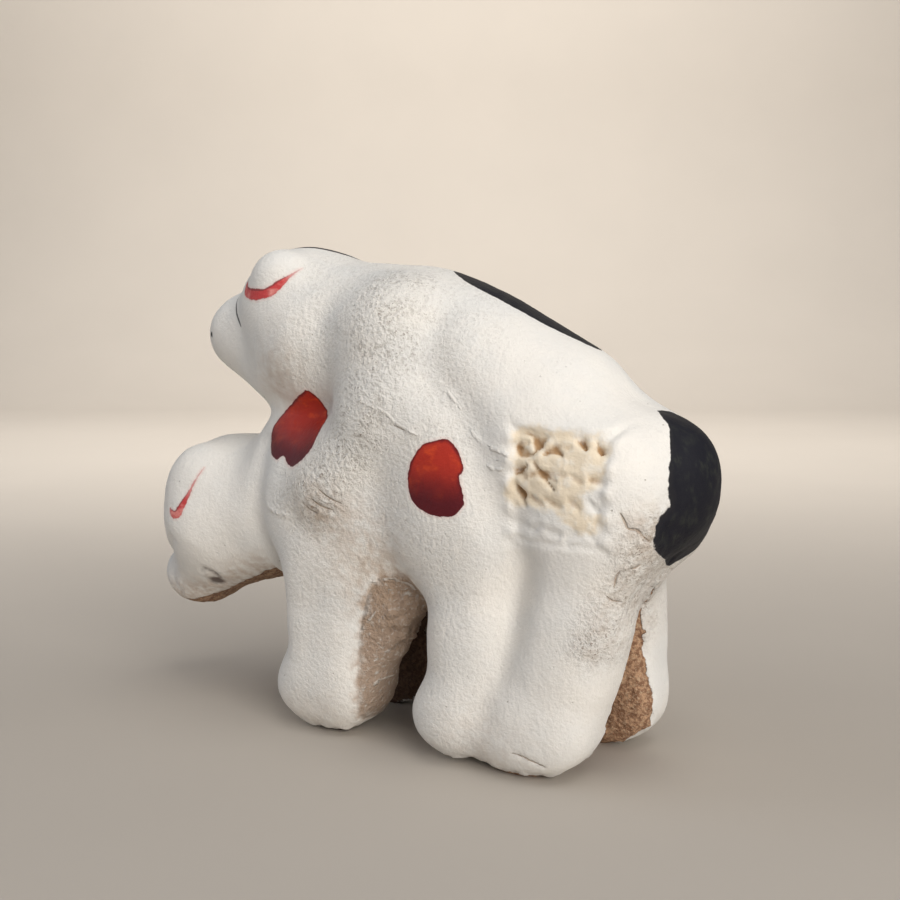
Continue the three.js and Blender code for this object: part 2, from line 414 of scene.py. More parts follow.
@dataclass(frozen=True)
class Rider:
    """The dog on top: head, trunk, tail and the forelegs that clasp the carrier."""

    nape: float = 33.7
    elbow: Place = (1.5, -5.1, 28.5)

    def head(self) -> Shape:
        """Round skull, muzzle, sloping jaw and two ear mounds."""
        skull = Pillow((-10.6, 0, 36.2), (6.0, 6.8, 5.6))
        muzzle = Pillow((-15.9, 0, 34.4), (3.6, 4.3, 3.6), square=2.2)
        jaw = Bar((-17.7, 0, 34.0), (-11.5, 0, 31.5), (3.3, 4.6), widen=1.25)
        ear = BothSides(Pillow((-10.3, -4.1, 38.6), (2.9, 2.7, 2.8), lean=25))
        return press(TIGHT, press(FIRM, skull, muzzle, jaw), ear)

    def trunk(self) -> Shape:
        """Sloping back, neck, haunches and the curled tail."""
        back = Bar((6.4, 0, 29.9), (13.0, 0, 26.1), (8.1, 8.3))
        neck = Bar((1.4, 0, self.nape), (-6.9, 0, self.nape - 0.2), (6.2, 7.1), widen=1.12)
        tail = Pillow((23.1, 0, 22.9), (4.6, 3.8, 5.1), square=2.2, lean=-6)
        haunch = BothSides(Pillow((18.6, -4.2, 21.7), (7.2, 5.0, 6.9), square=2.3))
        return press(SOFT, back, neck, haunch, tail)

    def clinging_leg(self) -> Shape:
        """The foreleg that hangs over the carrier's shoulder."""
        upper = Bar((1.7, -4.7, 34.2), self.elbow, (3.9, 3.8))
        lower = Bar(self.elbow, (-2.7, -5.9, 21.8), (3.8, 3.1))
        return press(FIRM, upper, lower)

    def body(self) -> Shape:
        """Trunk and head in one."""
        return press(FIRM, self.trunk(), self.head())


@dataclass(frozen=True)
class HindLegs:
    """Both dogs' hind legs, run into one broad foot on each side. The far one was pressed a bit longer."""

    near: Pillow = Pillow((17.5, -4.5, 11.0), (4.9, 4.0, 9.5), square=2.5, lean=-14)
    far: Pillow = Pillow((17.1, 4.6, 10.5), (4.6, 3.8, 9.0), square=2.6, lean=1)
    near_foot: Pillow = Pillow((12.3, -4.7, 3.8), (7.6, 3.9, 4.1), square=3.4, stand=2.2, turn=3)
    far_foot: Pillow = Pillow((13.8, 5.1, 4.1), (7.8, 3.7, 4.4), square=3.2, stand=2.2)

    def body(self) -> Shape:
        """Legs and feet in one."""
        return press(FIRM, self.near, self.far, self.near_foot, self.far_foot)


@dataclass(frozen=True)
class Channel:
    """The wedge-shaped channel between the left and right legs, which starts behind the lower head."""

    half_width: float = 2.4
    top: float = 12.6
    off_centre: float = 0.4
    start: float = -11.8

    def distance(self, points: Array) -> Array:
        """Distance from the two slanted walls and the front end, negative in the open channel."""
        half = self.half_width * (1 - points[2] / self.top)
        wedge = (np.abs(points[1] - self.off_centre) - half) / math.hypot(1, self.half_width / self.top)
        return np.maximum(wedge, self.start - points[0])


@dataclass(frozen=True)
class ClayLump:
    """The whole pressed lump with its furrows, before the fine relief."""

    carrier: Carrier = field(default_factory=Carrier)
    rider: Rider = field(default_factory=Rider)
    hind_legs: HindLegs = field(default_factory=HindLegs)
    chest: Pillow = Pillow((-7.7, 0, 21.7), (7.3, 7.2, 7.2), square=2.3, lean=-12)
    channel: Channel = field(default_factory=Channel)
    leg_valley: Furrow = Furrow(
        ((15.6, 17.0), (14.8, 12.0), (12.8, 7.0), (11.9, 5.0)),
        depth=0.25,
        width=1.4,
    )
    hip_groove: Furrow = Furrow(
        (
            (6.3, 34.5), (7.1, 31.8), (10.4, 28.0), (13.1, 22.6),
            (15.3, 18.0), (14.5, 12.0), (12.1, 6.5), (10.7, 1.0),
        ),
        depth=0.6,
        width=1.9,
    )
    arm_front: Furrow = Furrow(
        ((-3.9, 35.0), (-3.5, 29.5), (-4.5, 25.6), (-7.1, 22.4)),
        depth=0.2,
        width=1.8,
    )
    paw_edge: Furrow = Furrow(
        ((4.1, 26.6), (0.9, 21.4), (-2.5, 18.4), (-5.5, 18.6)),
        depth=0.25,
        width=1.5,
    )
    collar: Furrow = Furrow(
        ((-10.9, 24.4), (-11.2, 20.0), (-10.9, 16.6), (-9.9, 13.4)),
        depth=0.45,
        width=1.2,
    )

    def distance(self, points: Array) -> Array:
        """Distance from the lump's surface: all lumps pressed together, less the furrows and the channel.

        Args:
            points: Rows of x, y and z.

        Returns:
            Distances, negative inside the clay.
        """
        carrier, rider = self.carrier, self.rider
        forelegs = BothSides(carrier.foreleg())
        clay = press(FIRM, carrier.body(), self.chest, forelegs, rider.body(), self.hind_legs.body())
        clasped = press(SOFT, clay, BothSides(rider.clinging_leg())).distance(points)
        furrows = (self.hip_groove, self.leg_valley, self.arm_front, self.paw_edge, self.collar)
        sunk = sum(furrow.sunk(points) for furrow in furrows)
        return -soft_min(-clasped - sunk, self.channel.distance(points), TIGHT)


# The surface of the lump


@dataclass(frozen=True)
class Mould:
    """Works out the closed surface of a shape on a grid of small boxes."""

    low: Place = (-29.2, -10.6, 0.0)
    high: Place = (28.9, 10.6, 43.0)
    cell: float = 0.34
    fine_cell: float = 0.21
    fine_lengths: Range = (14.4, 23.2)
    fine_heights: Range = (18.4, 27.8)
    sole_step: float = 0.1
    block: int = 4
    band: float = 1.35
    settle_rounds: int = 2
    settle_probe: float = 0.04
    least_slope: float = 0.25

    def planes(self, low: float, high: float, fine: Range | None = None) -> Array:
        """Grid planes along one axis, closer together in the fine band, in whole blocks.

        Args:
            low: First plane.
            high: The planes reach at least this far.
            fine: The band with finer boxes, if there is one.

        Returns:
            Rising coordinates.
        """
        bands = [(low, high, self.cell)]
        if fine:
            bands = [(low, fine[0], self.cell), (*fine, self.fine_cell), (fine[1], high, self.cell)]
        parts = [np.arange(start, end - step / 2, step) for start, end, step in bands]
        values = np.concatenate(parts)
        spare = -len(values) % self.block
        return np.concatenate((values, values[-1] + self.cell * np.arange(1, spare + 1)))

    def sample(self, shape: Shape, axes: tuple[Array, Array, Array]) -> Array:
        """Distances on the grid, worked out only in the blocks that the surface may cross.

        Args:
            shape: The shape.
            axes: Grid planes along x, y and z.

        Returns:
            A value for each grid point; far from the surface it is that of its block's middle.
        """
        middles = [axis.reshape(-1, self.block).mean(1) for axis in axes]
        coarse_points = np.stack(np.meshgrid(*middles, indexing="ij")).reshape(3, -1)
        coarse = shape.distance(coarse_points).reshape([len(middle) for middle in middles])
        values = coarse
        for axis in range(3):
            values = np.repeat(values, self.block, axis=axis)
        near = np.abs(values) < self.cell * self.block * self.band
        i, j, k = np.nonzero(near)
        points = np.stack((axes[0][i], axes[1][j], axes[2][k]))
        values[i, j, k] = shape.distance(points)
        return values

    def surface(self, shape: Shape) -> tuple[Array, Array]:
        """Surface net: a vertex in each box that the surface crosses, a quad round each crossed box edge.

        Args:
            shape: The shape.

        Returns:
            Rows of x, y and z for the vertices, and four vertex numbers for each quad, facing outwards.
        """
        x = self.planes(self.low[0], self.high[0], self.fine_lengths)
        y = self.planes(self.low[1], self.high[1])
        z = self.planes(self.sole_step, self.high[2], self.fine_heights)
        axes = (x, y, np.concatenate(([self.sole_step - self.cell], z[:-1])))
        values = self.sample(shape, axes)
        values[:, :, 0] = self.cell / 2
        size = np.array(values.shape)
        stride = np.array((size[1] * size[2], size[2], 1))
        total, count = np.zeros((3, values.size)), np.zeros(values.size)
        rings = []
        for axis in range(3):
            here = np.moveaxis(values, axis, 0)
            crossed = np.moveaxis((here[:-1] < 0) != (here[1:] < 0), 0, axis)
            cell = np.stack(np.nonzero(crossed))
            ahead = cell.copy()
            ahead[axis] += 1
            start, end = values[tuple(cell)], values[tuple(ahead)]
            point = np.stack([planes[index] for planes, index in zip(axes, cell)])
            step = np.diff(axes[axis])[cell[axis]]
            point[axis] += step * start / (start - end)
            flat = stride @ cell
            u, v = stride[(axis + 1) % 3], stride[(axis + 2) % 3]
            ring = np.stack((flat, flat - u, flat - u - v, flat - v))
            for box in ring:
                count += np.bincount(box, minlength=values.size)
                for row in range(3):
                    total[row] += np.bincount(box, weights=point[row], minlength=values.size)
            rings.append(np.where(start < 0, ring, ring[::-1]))
        used = np.flatnonzero(count)
        number = np.zeros(values.size, int)
        number[used] = np.arange(len(used))
        vertices = total[:, used] / count[used]
        is_sole = used % size[2] == 0
        vertices[2, is_sole] = 0
        return self.settled(shape, vertices, is_sole), number[np.hstack(rings)].T

    def settled(self, shape: Shape, vertices: Array, is_sole: Array) -> Array:
        """Moves vertices onto the true surface, down the slope of the distance; soles stay on the ground.

        Args:
            shape: The shape.
            vertices: Rows of x, y and z.
            is_sole: Which vertices belong to the flat soles.

        Returns:
            The moved vertices.
        """
        longest = self.cell / 3
        for _ in range(self.settle_rounds):
            value = shape.distance(vertices)
            slope = gradient(shape, vertices, value, self.settle_probe)
            slope[2, is_sole] = 0
            move = -value / np.maximum((slope**2).sum(0), self.least_slope)
            move = np.where(is_sole & (value < -longest), 0, move)
            vertices = vertices + slope * np.clip(move, -longest, longest)
        return vertices


def gradient(shape: Shape, points: Array, value: Array, probe: float) -> Array:
    """Slope of a shape's distance along x, y and z: the change over one small step, divided by it."""
    steps = np.eye(3) * probe
    return np.stack([(shape.distance(points + step[:, None]) - value) / probe for step in steps])


@dataclass(frozen=True)
class Grain:
    """Soft random unevenness: several layers of value noise, each finer and weaker than the last."""

    size: float
    seed: int
    layers: int = 3
    height: float = 1.0
    lattice: int = 32
    layer_shift: float = 7.3

    def at(self, points: Array) -> Array:
        """Random lattice numbers blended smoothly between the eight corners round each point.

        Args:
            points: Rows of x, y and z.

        Returns:
            Values up to about the height, either way.
        """
        table = np.random.default_rng(self.seed).uniform(-1, 1, (self.lattice,) * 3)
        total, weight = np.zeros(points.shape[1]), 0.0
        for layer in range(self.layers):
            share = 0.5**layer
            place = points * (2**layer / self.size) + self.layer_shift * layer
            corner = np.floor(place).astype(int)
            t = place - corner
            t = t * t * (3 - 2 * t)
            value = np.zeros(points.shape[1])
            for bits in np.ndindex(2, 2, 2):
                pick = (corner + np.array(bits)[:, None]) % self.lattice
                part = np.prod([t[row] if bit else 1 - t[row] for row, bit in enumerate(bits)], axis=0)
                value += part * table[tuple(pick)]
            total += share * value
            weight += share
        return self.height * (total / weight)


@dataclass(frozen=True)
class Profile:
    """The cross section of a mark: it rises over a range of depths inside its edge to its full height."""

    rise: Range
    height: float = 1.0

    def at(self, depth: Array) -> Array:
        """Height at depths inside the mark's edge."""
        return self.height * smooth_step(depth, *self.rise)


# What is painted, stamped and worn, and where shade is painted


class Flank(Enum):
    """The two sides of the group, valued by the sign of y there."""

    NEAR = -1
    FAR = 1

    def has(self, points: Array) -> Array:
        """Which points lie on this side of the middle plane."""
        return points[1] * self.value > 0


@dataclass(frozen=True)
class Ball:
    """A small round mark."""

    at: Place
    radius: float

    def depth(self, points: Array) -> Array:
        """How deep points lie inside, negative outside."""
        return self.radius - np.linalg.norm(points - np.array(self.at)[:, None], axis=0)

    def haze(self, points: Array) -> Array:
        """A soft bell, 1 in the middle and fading over the radius."""
        return bell(np.linalg.norm(points - np.array(self.at)[:, None], axis=0), self.radius)


@dataclass(frozen=True)
class Band:
    """A soft band along a curve through (x, z) points, over both flanks."""

    through: tuple[Spot, ...]
    reach: float

    def haze(self, points: Array) -> Array:
        """A soft bell, 1 on the curve and fading over the reach."""
        return bell(beside(smooth_line(self.through), points[[0, 2]]).gap, self.reach)


@dataclass(frozen=True)
class Painting:
    """The red and black paint, as outlines and strokes seen from the side or from above."""

    shoulder_spot: Outline = Outline(
        (
            (-6.1, 29.4), (-5.6, 29.0), (-5.1, 28.0), (-4.4, 27.1), (-4.0, 26.0), (-4.1, 24.8),
            (-5.1, 23.7), (-6.3, 23.1), (-7.3, 23.4), (-7.9, 23.9), (-8.7, 23.5), (-9.9, 24.0),
            (-10.5, 25.2), (-9.9, 27.0), (-8.2, 28.4), (-7.0, 29.0),
        )
    )
    hip_spot: Outline = Outline(
        (
            (7.4, 25.8), (8.4, 26.1), (9.3, 26.2), (10.1, 25.5), (10.65, 24.6), (10.8, 23.9),
            (10.6, 23.5), (10.8, 22.9), (11.1, 22.1), (11.2, 21.4), (10.5, 20.6), (9.0, 20.4),
            (7.5, 20.7), (6.3, 21.7), (6.0, 23.3), (6.5, 24.8),
        )
    )
    far_shoulder_spot: Outline = Outline(
        (
            (-6.6, 29.0), (-4.9, 27.9), (-4.3, 26.0), (-5.4, 24.1),
            (-7.6, 23.6), (-9.6, 24.6), (-10.1, 26.6), (-8.7, 28.4),
        )
    )
    far_hip_spot: Outline = Outline(
        (
            (8.6, 26.0), (10.3, 25.1), (10.9, 23.1), (10.2, 21.0),
            (8.4, 20.3), (6.8, 21.2), (6.2, 23.3), (7.0, 25.2),
        )
    )
    upper_ear: Stroke = Stroke(
        (
            (-13.4, 38.7), (-13.0, 37.9), (-12.0, 37.6), (-10.7, 37.5),
            (-9.6, 37.7), (-8.8, 38.2), (-8.1, 38.9), (-7.4, 39.7),
        ),
        (0.24, 0.44, 0.46, 0.54, 0.42, 0.48, 0.38, 0.16, 0.03),
    )
    lower_ear: Stroke = Stroke(
        (
            (-21.6, 18.2), (-21.1, 17.8), (-20.4, 17.8), (-19.9, 18.5),
            (-19.3, 19.6), (-18.8, 20.8), (-18.2, 22.1),
        ),
        (0.14, 0.38, 0.44, 0.32, 0.2, 0.14, 0.08, 0.02),
    )
    eye_slit: Stroke = Stroke(
        ((-16.1, 37.5), (-15.8, 36.9), (-15.2, 36.0), (-14.6, 35.3), (-14.1, 34.6)),
        (0.02, 0.08, 0.11, 0.12, 0.1, 0.02),
    )
    tail: Outline = Outline(
        (
            (25.2, 30.6), (25.3, 29.6), (26.0, 28.5), (25.75, 27.2), (25.6, 26.2), (25.75, 24.3),
            (25.94, 22.5), (25.84, 21.8), (25.5, 21.1), (25.27, 20.0), (25.15, 19.0), (25.2, 18.55),
            (25.6, 18.4), (28.0, 18.4), (33.0, 18.4), (33.0, 28.0), (27.0, 32.0),
        )
    )
    saddle: Outline = Outline(
        (
            (4.4, 0.3), (5.6, -0.9), (7.2, -1.75), (9.8, -1.8), (12.5, -1.45), (15.0, -1.0),
            (17.2, 0.0), (17.4, 1.6), (14.5, 3.2), (11.0, 3.9), (7.5, 3.6), (5.0, 2.2),
        )
    )
    crown: Outline = Outline(
        (
            (-12.8, -0.2), (-11.2, -1.5), (-9.2, -1.1), (-6.9, 0.0),
            (-5.7, 1.5), (-7.2, 3.4), (-10.0, 3.8), (-12.4, 2.2),
        )
    )
    tail_side: float = 5.4
    tail_top_lean: float = 0.42
    tail_top_heights: Range = (25.0, 27.5)
    tail_low_lean: float = 0.3
    tail_low_heights: Range = (17.0, 19.0)
    tail_droop: float = 0.35
    tail_lowest: float = 0.8
    nose: Ball = Ball((-18.9, -3.9, 34.0), 0.33)
    far_nose: Ball = Ball((-18.9, 3.8, 34.1), 0.36)
    spot_middles: Spot = (25.9, 23.2)
    far_ear_shift: Spot = (0.3, 0.2)
    far_eye_shift: Spot = (0.1, -0.1)
    above_carrier: float = 30.0
    crown_height: float = 38.0

    def side_view(self, points: Array, shift: Spot) -> Array:
        """Flank coordinates x and z, less the shift on the far flank, where the paint sits a little off."""
        far = Flank.FAR.has(points)
        return np.stack((points[0] - far * shift[0], points[2] - far * shift[1]))

    def red(self, points: Array) -> Array:
        """Depth inside the red spots."""
        plane = points[[0, 2]]
        near = np.maximum(self.shoulder_spot.depth(plane), self.hip_spot.depth(plane))
        far = np.maximum(self.far_shoulder_spot.depth(plane), self.far_hip_spot.depth(plane))
        return np.where(Flank.NEAR.has(points), near, far)

    def spot_height(self, points: Array) -> Array:
        """Height above the middle of the nearer red spot."""
        middle = np.where(points[0] < 0, *self.spot_middles)
        return points[2] - middle

    def on_tail(self, points: Array) -> Array:
        """Depth inside the black of the tail, whose outline leans and droops towards the middle plane.

        Args:
            points: Rows of x, y and z.

        Returns:
            Depths in the outline at x plus a lean and z plus a droop, both shares of the way inwards.
        """
        inward = np.clip(self.tail_side - np.abs(points[1]), 0, self.tail_side)
        lean = self.tail_top_lean * smooth_step(points[2], *self.tail_top_heights)
        lean = lean + self.tail_low_lean * (1 - smooth_step(points[2], *self.tail_low_heights))
        across = self.tail_side + np.clip(points[1], -self.tail_side, self.tail_lowest)
        return self.tail.depth(np.stack((points[0] + lean * inward, points[2] + self.tail_droop * across)))

    def black(self, points: Array) -> Array:
        """Depth inside the black patches on the back, tail and crown, and the nose dots."""
        patches = [self.on_tail(points), self.nose.depth(points), self.far_nose.depth(points)]
        for patch, lowest in ((self.saddle, self.above_carrier), (self.crown, self.crown_height)):
            patches.append(np.where(points[2] > lowest, patch.depth(points[:2]), OUTSIDE))
        return np.max(patches, axis=0)

    def ears(self, points: Array) -> tuple[Array, Array]:
        """Offset across the red ear strokes, and their half width there."""
        plane = self.side_view(points, self.far_ear_shift)
        upper, lower = self.upper_ear.across(plane), self.lower_ear.across(plane)
        on_upper = points[2] > self.above_carrier
        return np.where(on_upper, upper[0], lower[0]), np.where(on_upper, upper[1], lower[1])

    def eyes(self, points: Array) -> tuple[Array, Array]:
        """Offset across the black eye slits, and their half width there."""
        return self.eye_slit.across(self.side_view(points, self.far_eye_shift))


@dataclass(frozen=True)
class Seal:
    """The square stamp on the near haunch: a sunk panel with rows of shallow strokes that spell nothing."""

    centre: Spot = (18.6, 23.1)
    half: Spot = (3.8, 4.2)
    tilt: float = -1.0
    depth: float = 0.38
    rows: int = 4
    columns: int = 5
    cut: float = 0.26
    wedge_cut: float = 1.5
    seed: int = 11
    leans: tuple[float, ...] = (-0.5, -0.4, 0.1, 0.7, -0.9)
    lean_shake: float = 0.15
    place_shake: float = 0.12
    least_stroke: Place = (0.35, 0.16, 0.5)
    most_stroke: Place = (0.6, 0.26, 1.0)
    stroke_profile: Profile = Profile((-0.2, 0.12))
    wedge_profile: Profile = Profile((-0.22, 0.14))
    panel_profile: Profile = Profile((-0.35, 0.4))
    wander: Grain = Grain(1.6, 5, height=0.3)
    ground: Grain = Grain(1.0, 9, 2, height=0.12)
    low_fade: Profile = Profile((1.5, 3.0), 0.35)
    notch_profile: Profile = Profile((-1.1, -0.1), 0.16)
    notch_outset: float = 0.1
    notch_pitch: float = 1.8
    notch_width: float = 0.45
    ledge_height: float = 0.12
    ledge_inset: float = 0.5
    ledge_width: float = 0.3
    worn_patch: Outline = Outline(
        (
            (-3.7, 4.2), (0.0, 4.2), (3.2, 3.9), (3.8, 2.0), (3.4, 0.6), (2.2, -0.2), (2.6, -1.2),
            (3.7, -1.9), (3.2, -3.0), (1.8, -2.9), (0.2, -1.9), (-1.8, -1.6), (-3.9, -1.5),
            (-4.1, -0.2), (-3.5, 1.4),
        )
    )
    wedges: tuple[Stroke, ...] = (
        Stroke(((-1.6, 4.1), (-1.7, 3.4), (-1.9, 2.6)), (0.62, 0.42, 0.08)),
        Stroke(((-3.5, 4.1), (-2.8, 4.1), (-1.8, 3.9)), (0.08, 0.14, 0.3)),
        Stroke(((-3.8, 3.0), (-2.9, 2.5), (-1.9, 2.5)), (0.16, 0.36, 0.1)),
        Stroke(((-1.2, 2.5), (-0.5, 2.9), (0.3, 2.6)), (0.08, 0.28, 0.06)),
        Stroke(((-2.0, 2.0), (-1.1, 1.0), (-0.1, 0.0)), (0.05, 0.12, 0.04)),
        Stroke(((-1.1, 1.0), (0.1, 0.6)), (0.1, 0.04)),
        Stroke(((-3.8, 0.8), (-2.4, 1.6)), (0.2, 0.06)),
        Stroke(((-3.8, 0.1), (-2.6, -0.8)), (0.12, 0.26)),
        Stroke(((1.5, 3.9), (2.0, 3.1)), (0.16, 0.04)),
        Stroke(((2.6, 3.9), (3.3, 2.9)), (0.04, 0.12)),
    )

    def local(self, points: Array) -> Array:
        """Coordinates along and up the square, from its middle."""
        a = math.radians(self.tilt)
        x, z = points[0] - self.centre[0], points[2] - self.centre[1]
        return np.stack((x * math.cos(a) + z * math.sin(a), z * math.cos(a) - x * math.sin(a)))

    def strokes(self, plane: Array) -> Array:
        """Depth share of the cut strokes from 0 to 1, in level rows; each is short and leans its own way.

        Args:
            plane: Coordinates along and up the square.

        Returns:
            The deepest stroke's rounded profile at each point.
        """
        rng = np.random.default_rng(self.seed)
        pitch = 2 * np.array(self.half) / (self.columns, self.rows)
        depth = np.zeros(plane.shape[1])
        for row, column in np.ndindex(self.rows, self.columns):
            middle = (np.array((column, row)) + 0.5) * pitch - self.half + rng.normal(0, self.place_shake, 2)
            angle = rng.choice(self.leans) + rng.normal(0, self.lean_shake)
            reach, half_width, strength = rng.uniform(self.least_stroke, self.most_stroke)
            tip = np.array((math.cos(angle), math.sin(angle))) * reach
            gap = beside(np.stack((middle - tip, middle + tip), axis=1), plane).gap
            depth = np.maximum(depth, strength * self.stroke_profile.at(half_width - gap))
        return depth

    def wedged(self, plane: Array) -> Array:
        """Depth share of the deeper wedges near the upper corner."""
        return np.max([self.wedge_profile.at(stroke.depth(plane)) for stroke in self.wedges], axis=0)

    def relief(self, points: Array) -> Array:
        """Height of the stamped square against the flank, negative where it is sunk.

        The square is its depth plus the cuts, faded low down. A cosine along the upright sides makes
        their row of notches, and a bell curve the ledge above the lower side.

        Args:
            points: Rows of x, y and z.

        Returns:
            Heights in millimetres.
        """
        plane = self.local(points)
        wander = self.wander.at(points)
        inside = np.min(np.array(self.half)[:, None] - np.abs(plane), axis=0) + wander
        sunk = self.panel_profile.at(inside)
        cuts = self.cut * (self.strokes(plane) + self.wedge_cut * self.wedged(plane))
        level = sunk * (1 - self.low_fade.at(-plane[1])) * (self.ground.at(points) - self.depth - cuts)
        from_border = np.abs(plane[0]) - self.half[0] - self.notch_outset
        rim = self.notch_profile.at(inside) * bell(from_border, self.notch_width)
        notches = rim * np.cos(plane[1] * math.tau / self.notch_pitch)
        above_side = plane[1] + self.half[1] - self.ledge_inset + wander
        ledge = self.ledge_height * bell(above_side, self.ledge_width) * sunk
        return np.where(Flank.NEAR.has(points), level + notches + ledge, 0)

    def bare(self, points: Array) -> Array:
        """Depth inside the part of the square where the coat has worn off the pale clay."""
        return np.where(Flank.NEAR.has(points), self.worn_patch.depth(self.local(points)), OUTSIDE)


@dataclass(frozen=True)
class Wear:
    """Cracks, creases, dirt, painted shade below the heads and in the channel, and where the coat ends."""

    cracks: tuple[Stroke, ...] = (
        Stroke(
            ((23.5, 21.7), (23.8, 21.0), (24.0, 20.5), (24.5, 20.4), (24.8, 19.9), (25.1, 19.4)),
            (0.03, 0.08, 0.06, 0.09, 0.05, 0.03),
        ),
        Stroke(((23.2, 17.3), (22.9, 16.8), (22.6, 15.9)), (0.02, 0.07, 0.02)),
        Stroke(((24.4, 17.7), (24.0, 17.4), (23.7, 17.5)), (0.02, 0.06, 0.02)),
        Stroke(((22.1, 15.4), (22.4, 15.0), (22.9, 14.8)), (0.02, 0.06, 0.02)),
        Stroke(((4.6, 27.1), (5.2, 26.9), (5.8, 26.7)), (0.02, 0.05, 0.02)),
        Stroke(((-2.5, 21.7), (-1.6, 21.0), (-0.6, 20.5)), (0.03, 0.07, 0.03)),
        Stroke(((-3.4, 20.9), (-2.3, 20.2), (-1.2, 19.9)), (0.03, 0.07, 0.03)),
        Stroke(((-4.4, 20.4), (-3.6, 19.8), (-2.9, 19.6)), (0.03, 0.06, 0.03)),
        Stroke(((14.9, 2.5), (16.1, 2.2), (17.4, 1.6)), (0.03, 0.08, 0.03)),
    )
    ridges: tuple[Stroke, ...] = (
        Stroke(((1.6, 29.0), (3.9, 28.2), (4.9, 27.3), (6.9, 26.4)), (0.05, 0.1, 0.1, 0.04)),
        Stroke(((7.2, 31.0), (8.7, 29.8), (10.1, 28.4)), (0.04, 0.09, 0.04)),
        Stroke(((11.0, 26.9), (12.4, 25.9), (13.6, 25.7), (15.0, 25.3)), (0.05, 0.14, 0.15, 0.1)),
        Stroke(((12.6, 24.6), (13.4, 24.2), (14.4, 24.3)), (0.04, 0.12, 0.08)),
        Stroke(((-9.8, 20.4), (-9.2, 19.5), (-7.8, 19.1), (-5.8, 18.9)), (0.05, 0.14, 0.12, 0.05)),
        Stroke(((1.2, 14.0), (2.7, 14.25), (4.0, 13.8), (4.7, 13.4)), (0.04, 0.14, 0.16, 0.06)),
        Stroke(((2.7, 12.3), (3.6, 12.9), (4.1, 12.5)), (0.04, 0.13, 0.05)),
        Stroke(((-0.3, 9.4), (0.6, 10.6), (1.5, 11.7)), (0.04, 0.1, 0.04)),
        Stroke(((1.2, 7.4), (1.8, 8.0), (2.3, 8.1)), (0.04, 0.12, 0.05)),
        Stroke(((0.2, 4.6), (0.7, 5.3), (1.2, 5.2)), (0.04, 0.1, 0.05)),
    )
    muzzle_line: Stroke = Stroke(
        ((-21.5, 15.5), (-23.3, 13.7), (-24.9, 12.1), (-25.2, 10.5), (-24.6, 9.2)),
        (0.1, 0.25, 0.3, 0.25, 0.1),
    )
    torn_face: Outline = Outline(
        (
            (2.2, 14.6), (1.1, 13.3), (0.3, 11.4), (-0.2, 8.9), (-0.4, 6.3), (-0.5, 3.7), (-0.9, 0.8),
            (0.5, -1.0), (2.8, 1.0), (3.4, 4.5), (4.4, 8.0), (5.1, 11.0), (5.3, 13.2), (4.2, 14.7),
        )
    )
    jaw_edge: tuple[Spot, ...] = (
        (-25.5, 8.2), (-23.5, 8.5), (-20.8, 9.35), (-16.8, 11.1), (-13.2, 12.7), (-11.8, 13.2),
    )
    # Painted shade and warm reflection below the coat's edge on the carrier's jaw
    jaw_shade: Profile = Profile((-3.0, 0.0), 0.95)
    dirt_and_shade: tuple[tuple[Ball, float], ...] = (
        (Ball((-2.6, -9.0, 19.9), 2.4), 0.85),
        (Ball((1.5, -9.0, 18.0), 3.2), 0.5),
        (Ball((1.8, -6.5, 14.2), 3.4), 0.9),
        (Ball((0.8, -4.5, 11.0), 3.0), 0.6),
        (Ball((-8.6, -7.5, 31.0), 3.0), 0.6),
        # The next three are painted shade and warm reflection under the rider's jaw and the carrier's jaw
        # and muzzle
        (Ball((-9.0, -6.0, 28.8), 2.2), 0.35),
        (Ball((-22.5, 0.0, 7.6), 4.2), 0.8),
        (Ball((-15.5, 0.0, 11.0), 4.0), 0.7),
        (Ball((24.6, -6.6, 20.2), 1.8), 0.4),
        (Ball((12.0, -9.0, 1.2), 4.5), 0.35),
        (Ball((-4.8, -8.0, 1.0), 4.0), 0.3),
        (Ball((-3.4, 9.0, 20.2), 3.0), 0.5),
        (Ball((18.0, 9.0, 17.0), 4.5), 0.3),
    )
    rump_dirt: float = 0.45
    arm: Band = Band(((2.4, 38.5), (3.0, 33.0), (1.6, 27.5), (-1.6, 23.0), (-4.0, 20.5)), 3.4)
    arm_sides: Range = (1.5, 4.5)
    rump: Band = Band(((25.2, 20.6), (24.7, 18.4), (23.5, 16.0), (22.0, 13.6), (21.3, 11.5)), 1.5)
    far_rump_loss: Profile = Profile((1.0, 5.0), 0.8)
    trunk_front: Profile = Profile((-10.0, -5.0), 0.3)
    trunk_end: Range = (8.0, 15.0)
    trunk_rise: Profile = Profile((8.0, 18.0), 0.5)
    least_sand: float = 0.07
    # Painted shade on the bare clay: some under the carrier's jaw, full between the forelegs, none at the
    # rear
    least_channel_shade: float = 0.35
    channel_shade_start: Range = (-13.0, -9.0)
    channel_shade_end: Range = (2.0, 12.0)
    slit: Stroke = Stroke(((0.9, 10.5), (1.1, 12.8), (1.1, 14.4)), (1.3, 0.85, 0.2), neighbourhood=2.0)
    slit_start: float = 16.0
    chip: Ball = Ball((-18.9, -4.2, 10.7), 1.05)
    chip_tail: Stroke = Stroke(
        ((-19.5, 12.2), (-18.9, 12.6), (-18.3, 12.3), (-18.2, 11.6)),
        (0.18, 0.32, 0.36, 0.36),
    )
    chip_tail_inset: float = 0.1
    coat_edge: float = 0.45
    rear_edge: Profile = Profile((14.0, 20.0), 0.75)
    rear_top: Range = (9.5, 12.5)
    sole: float = 0.25

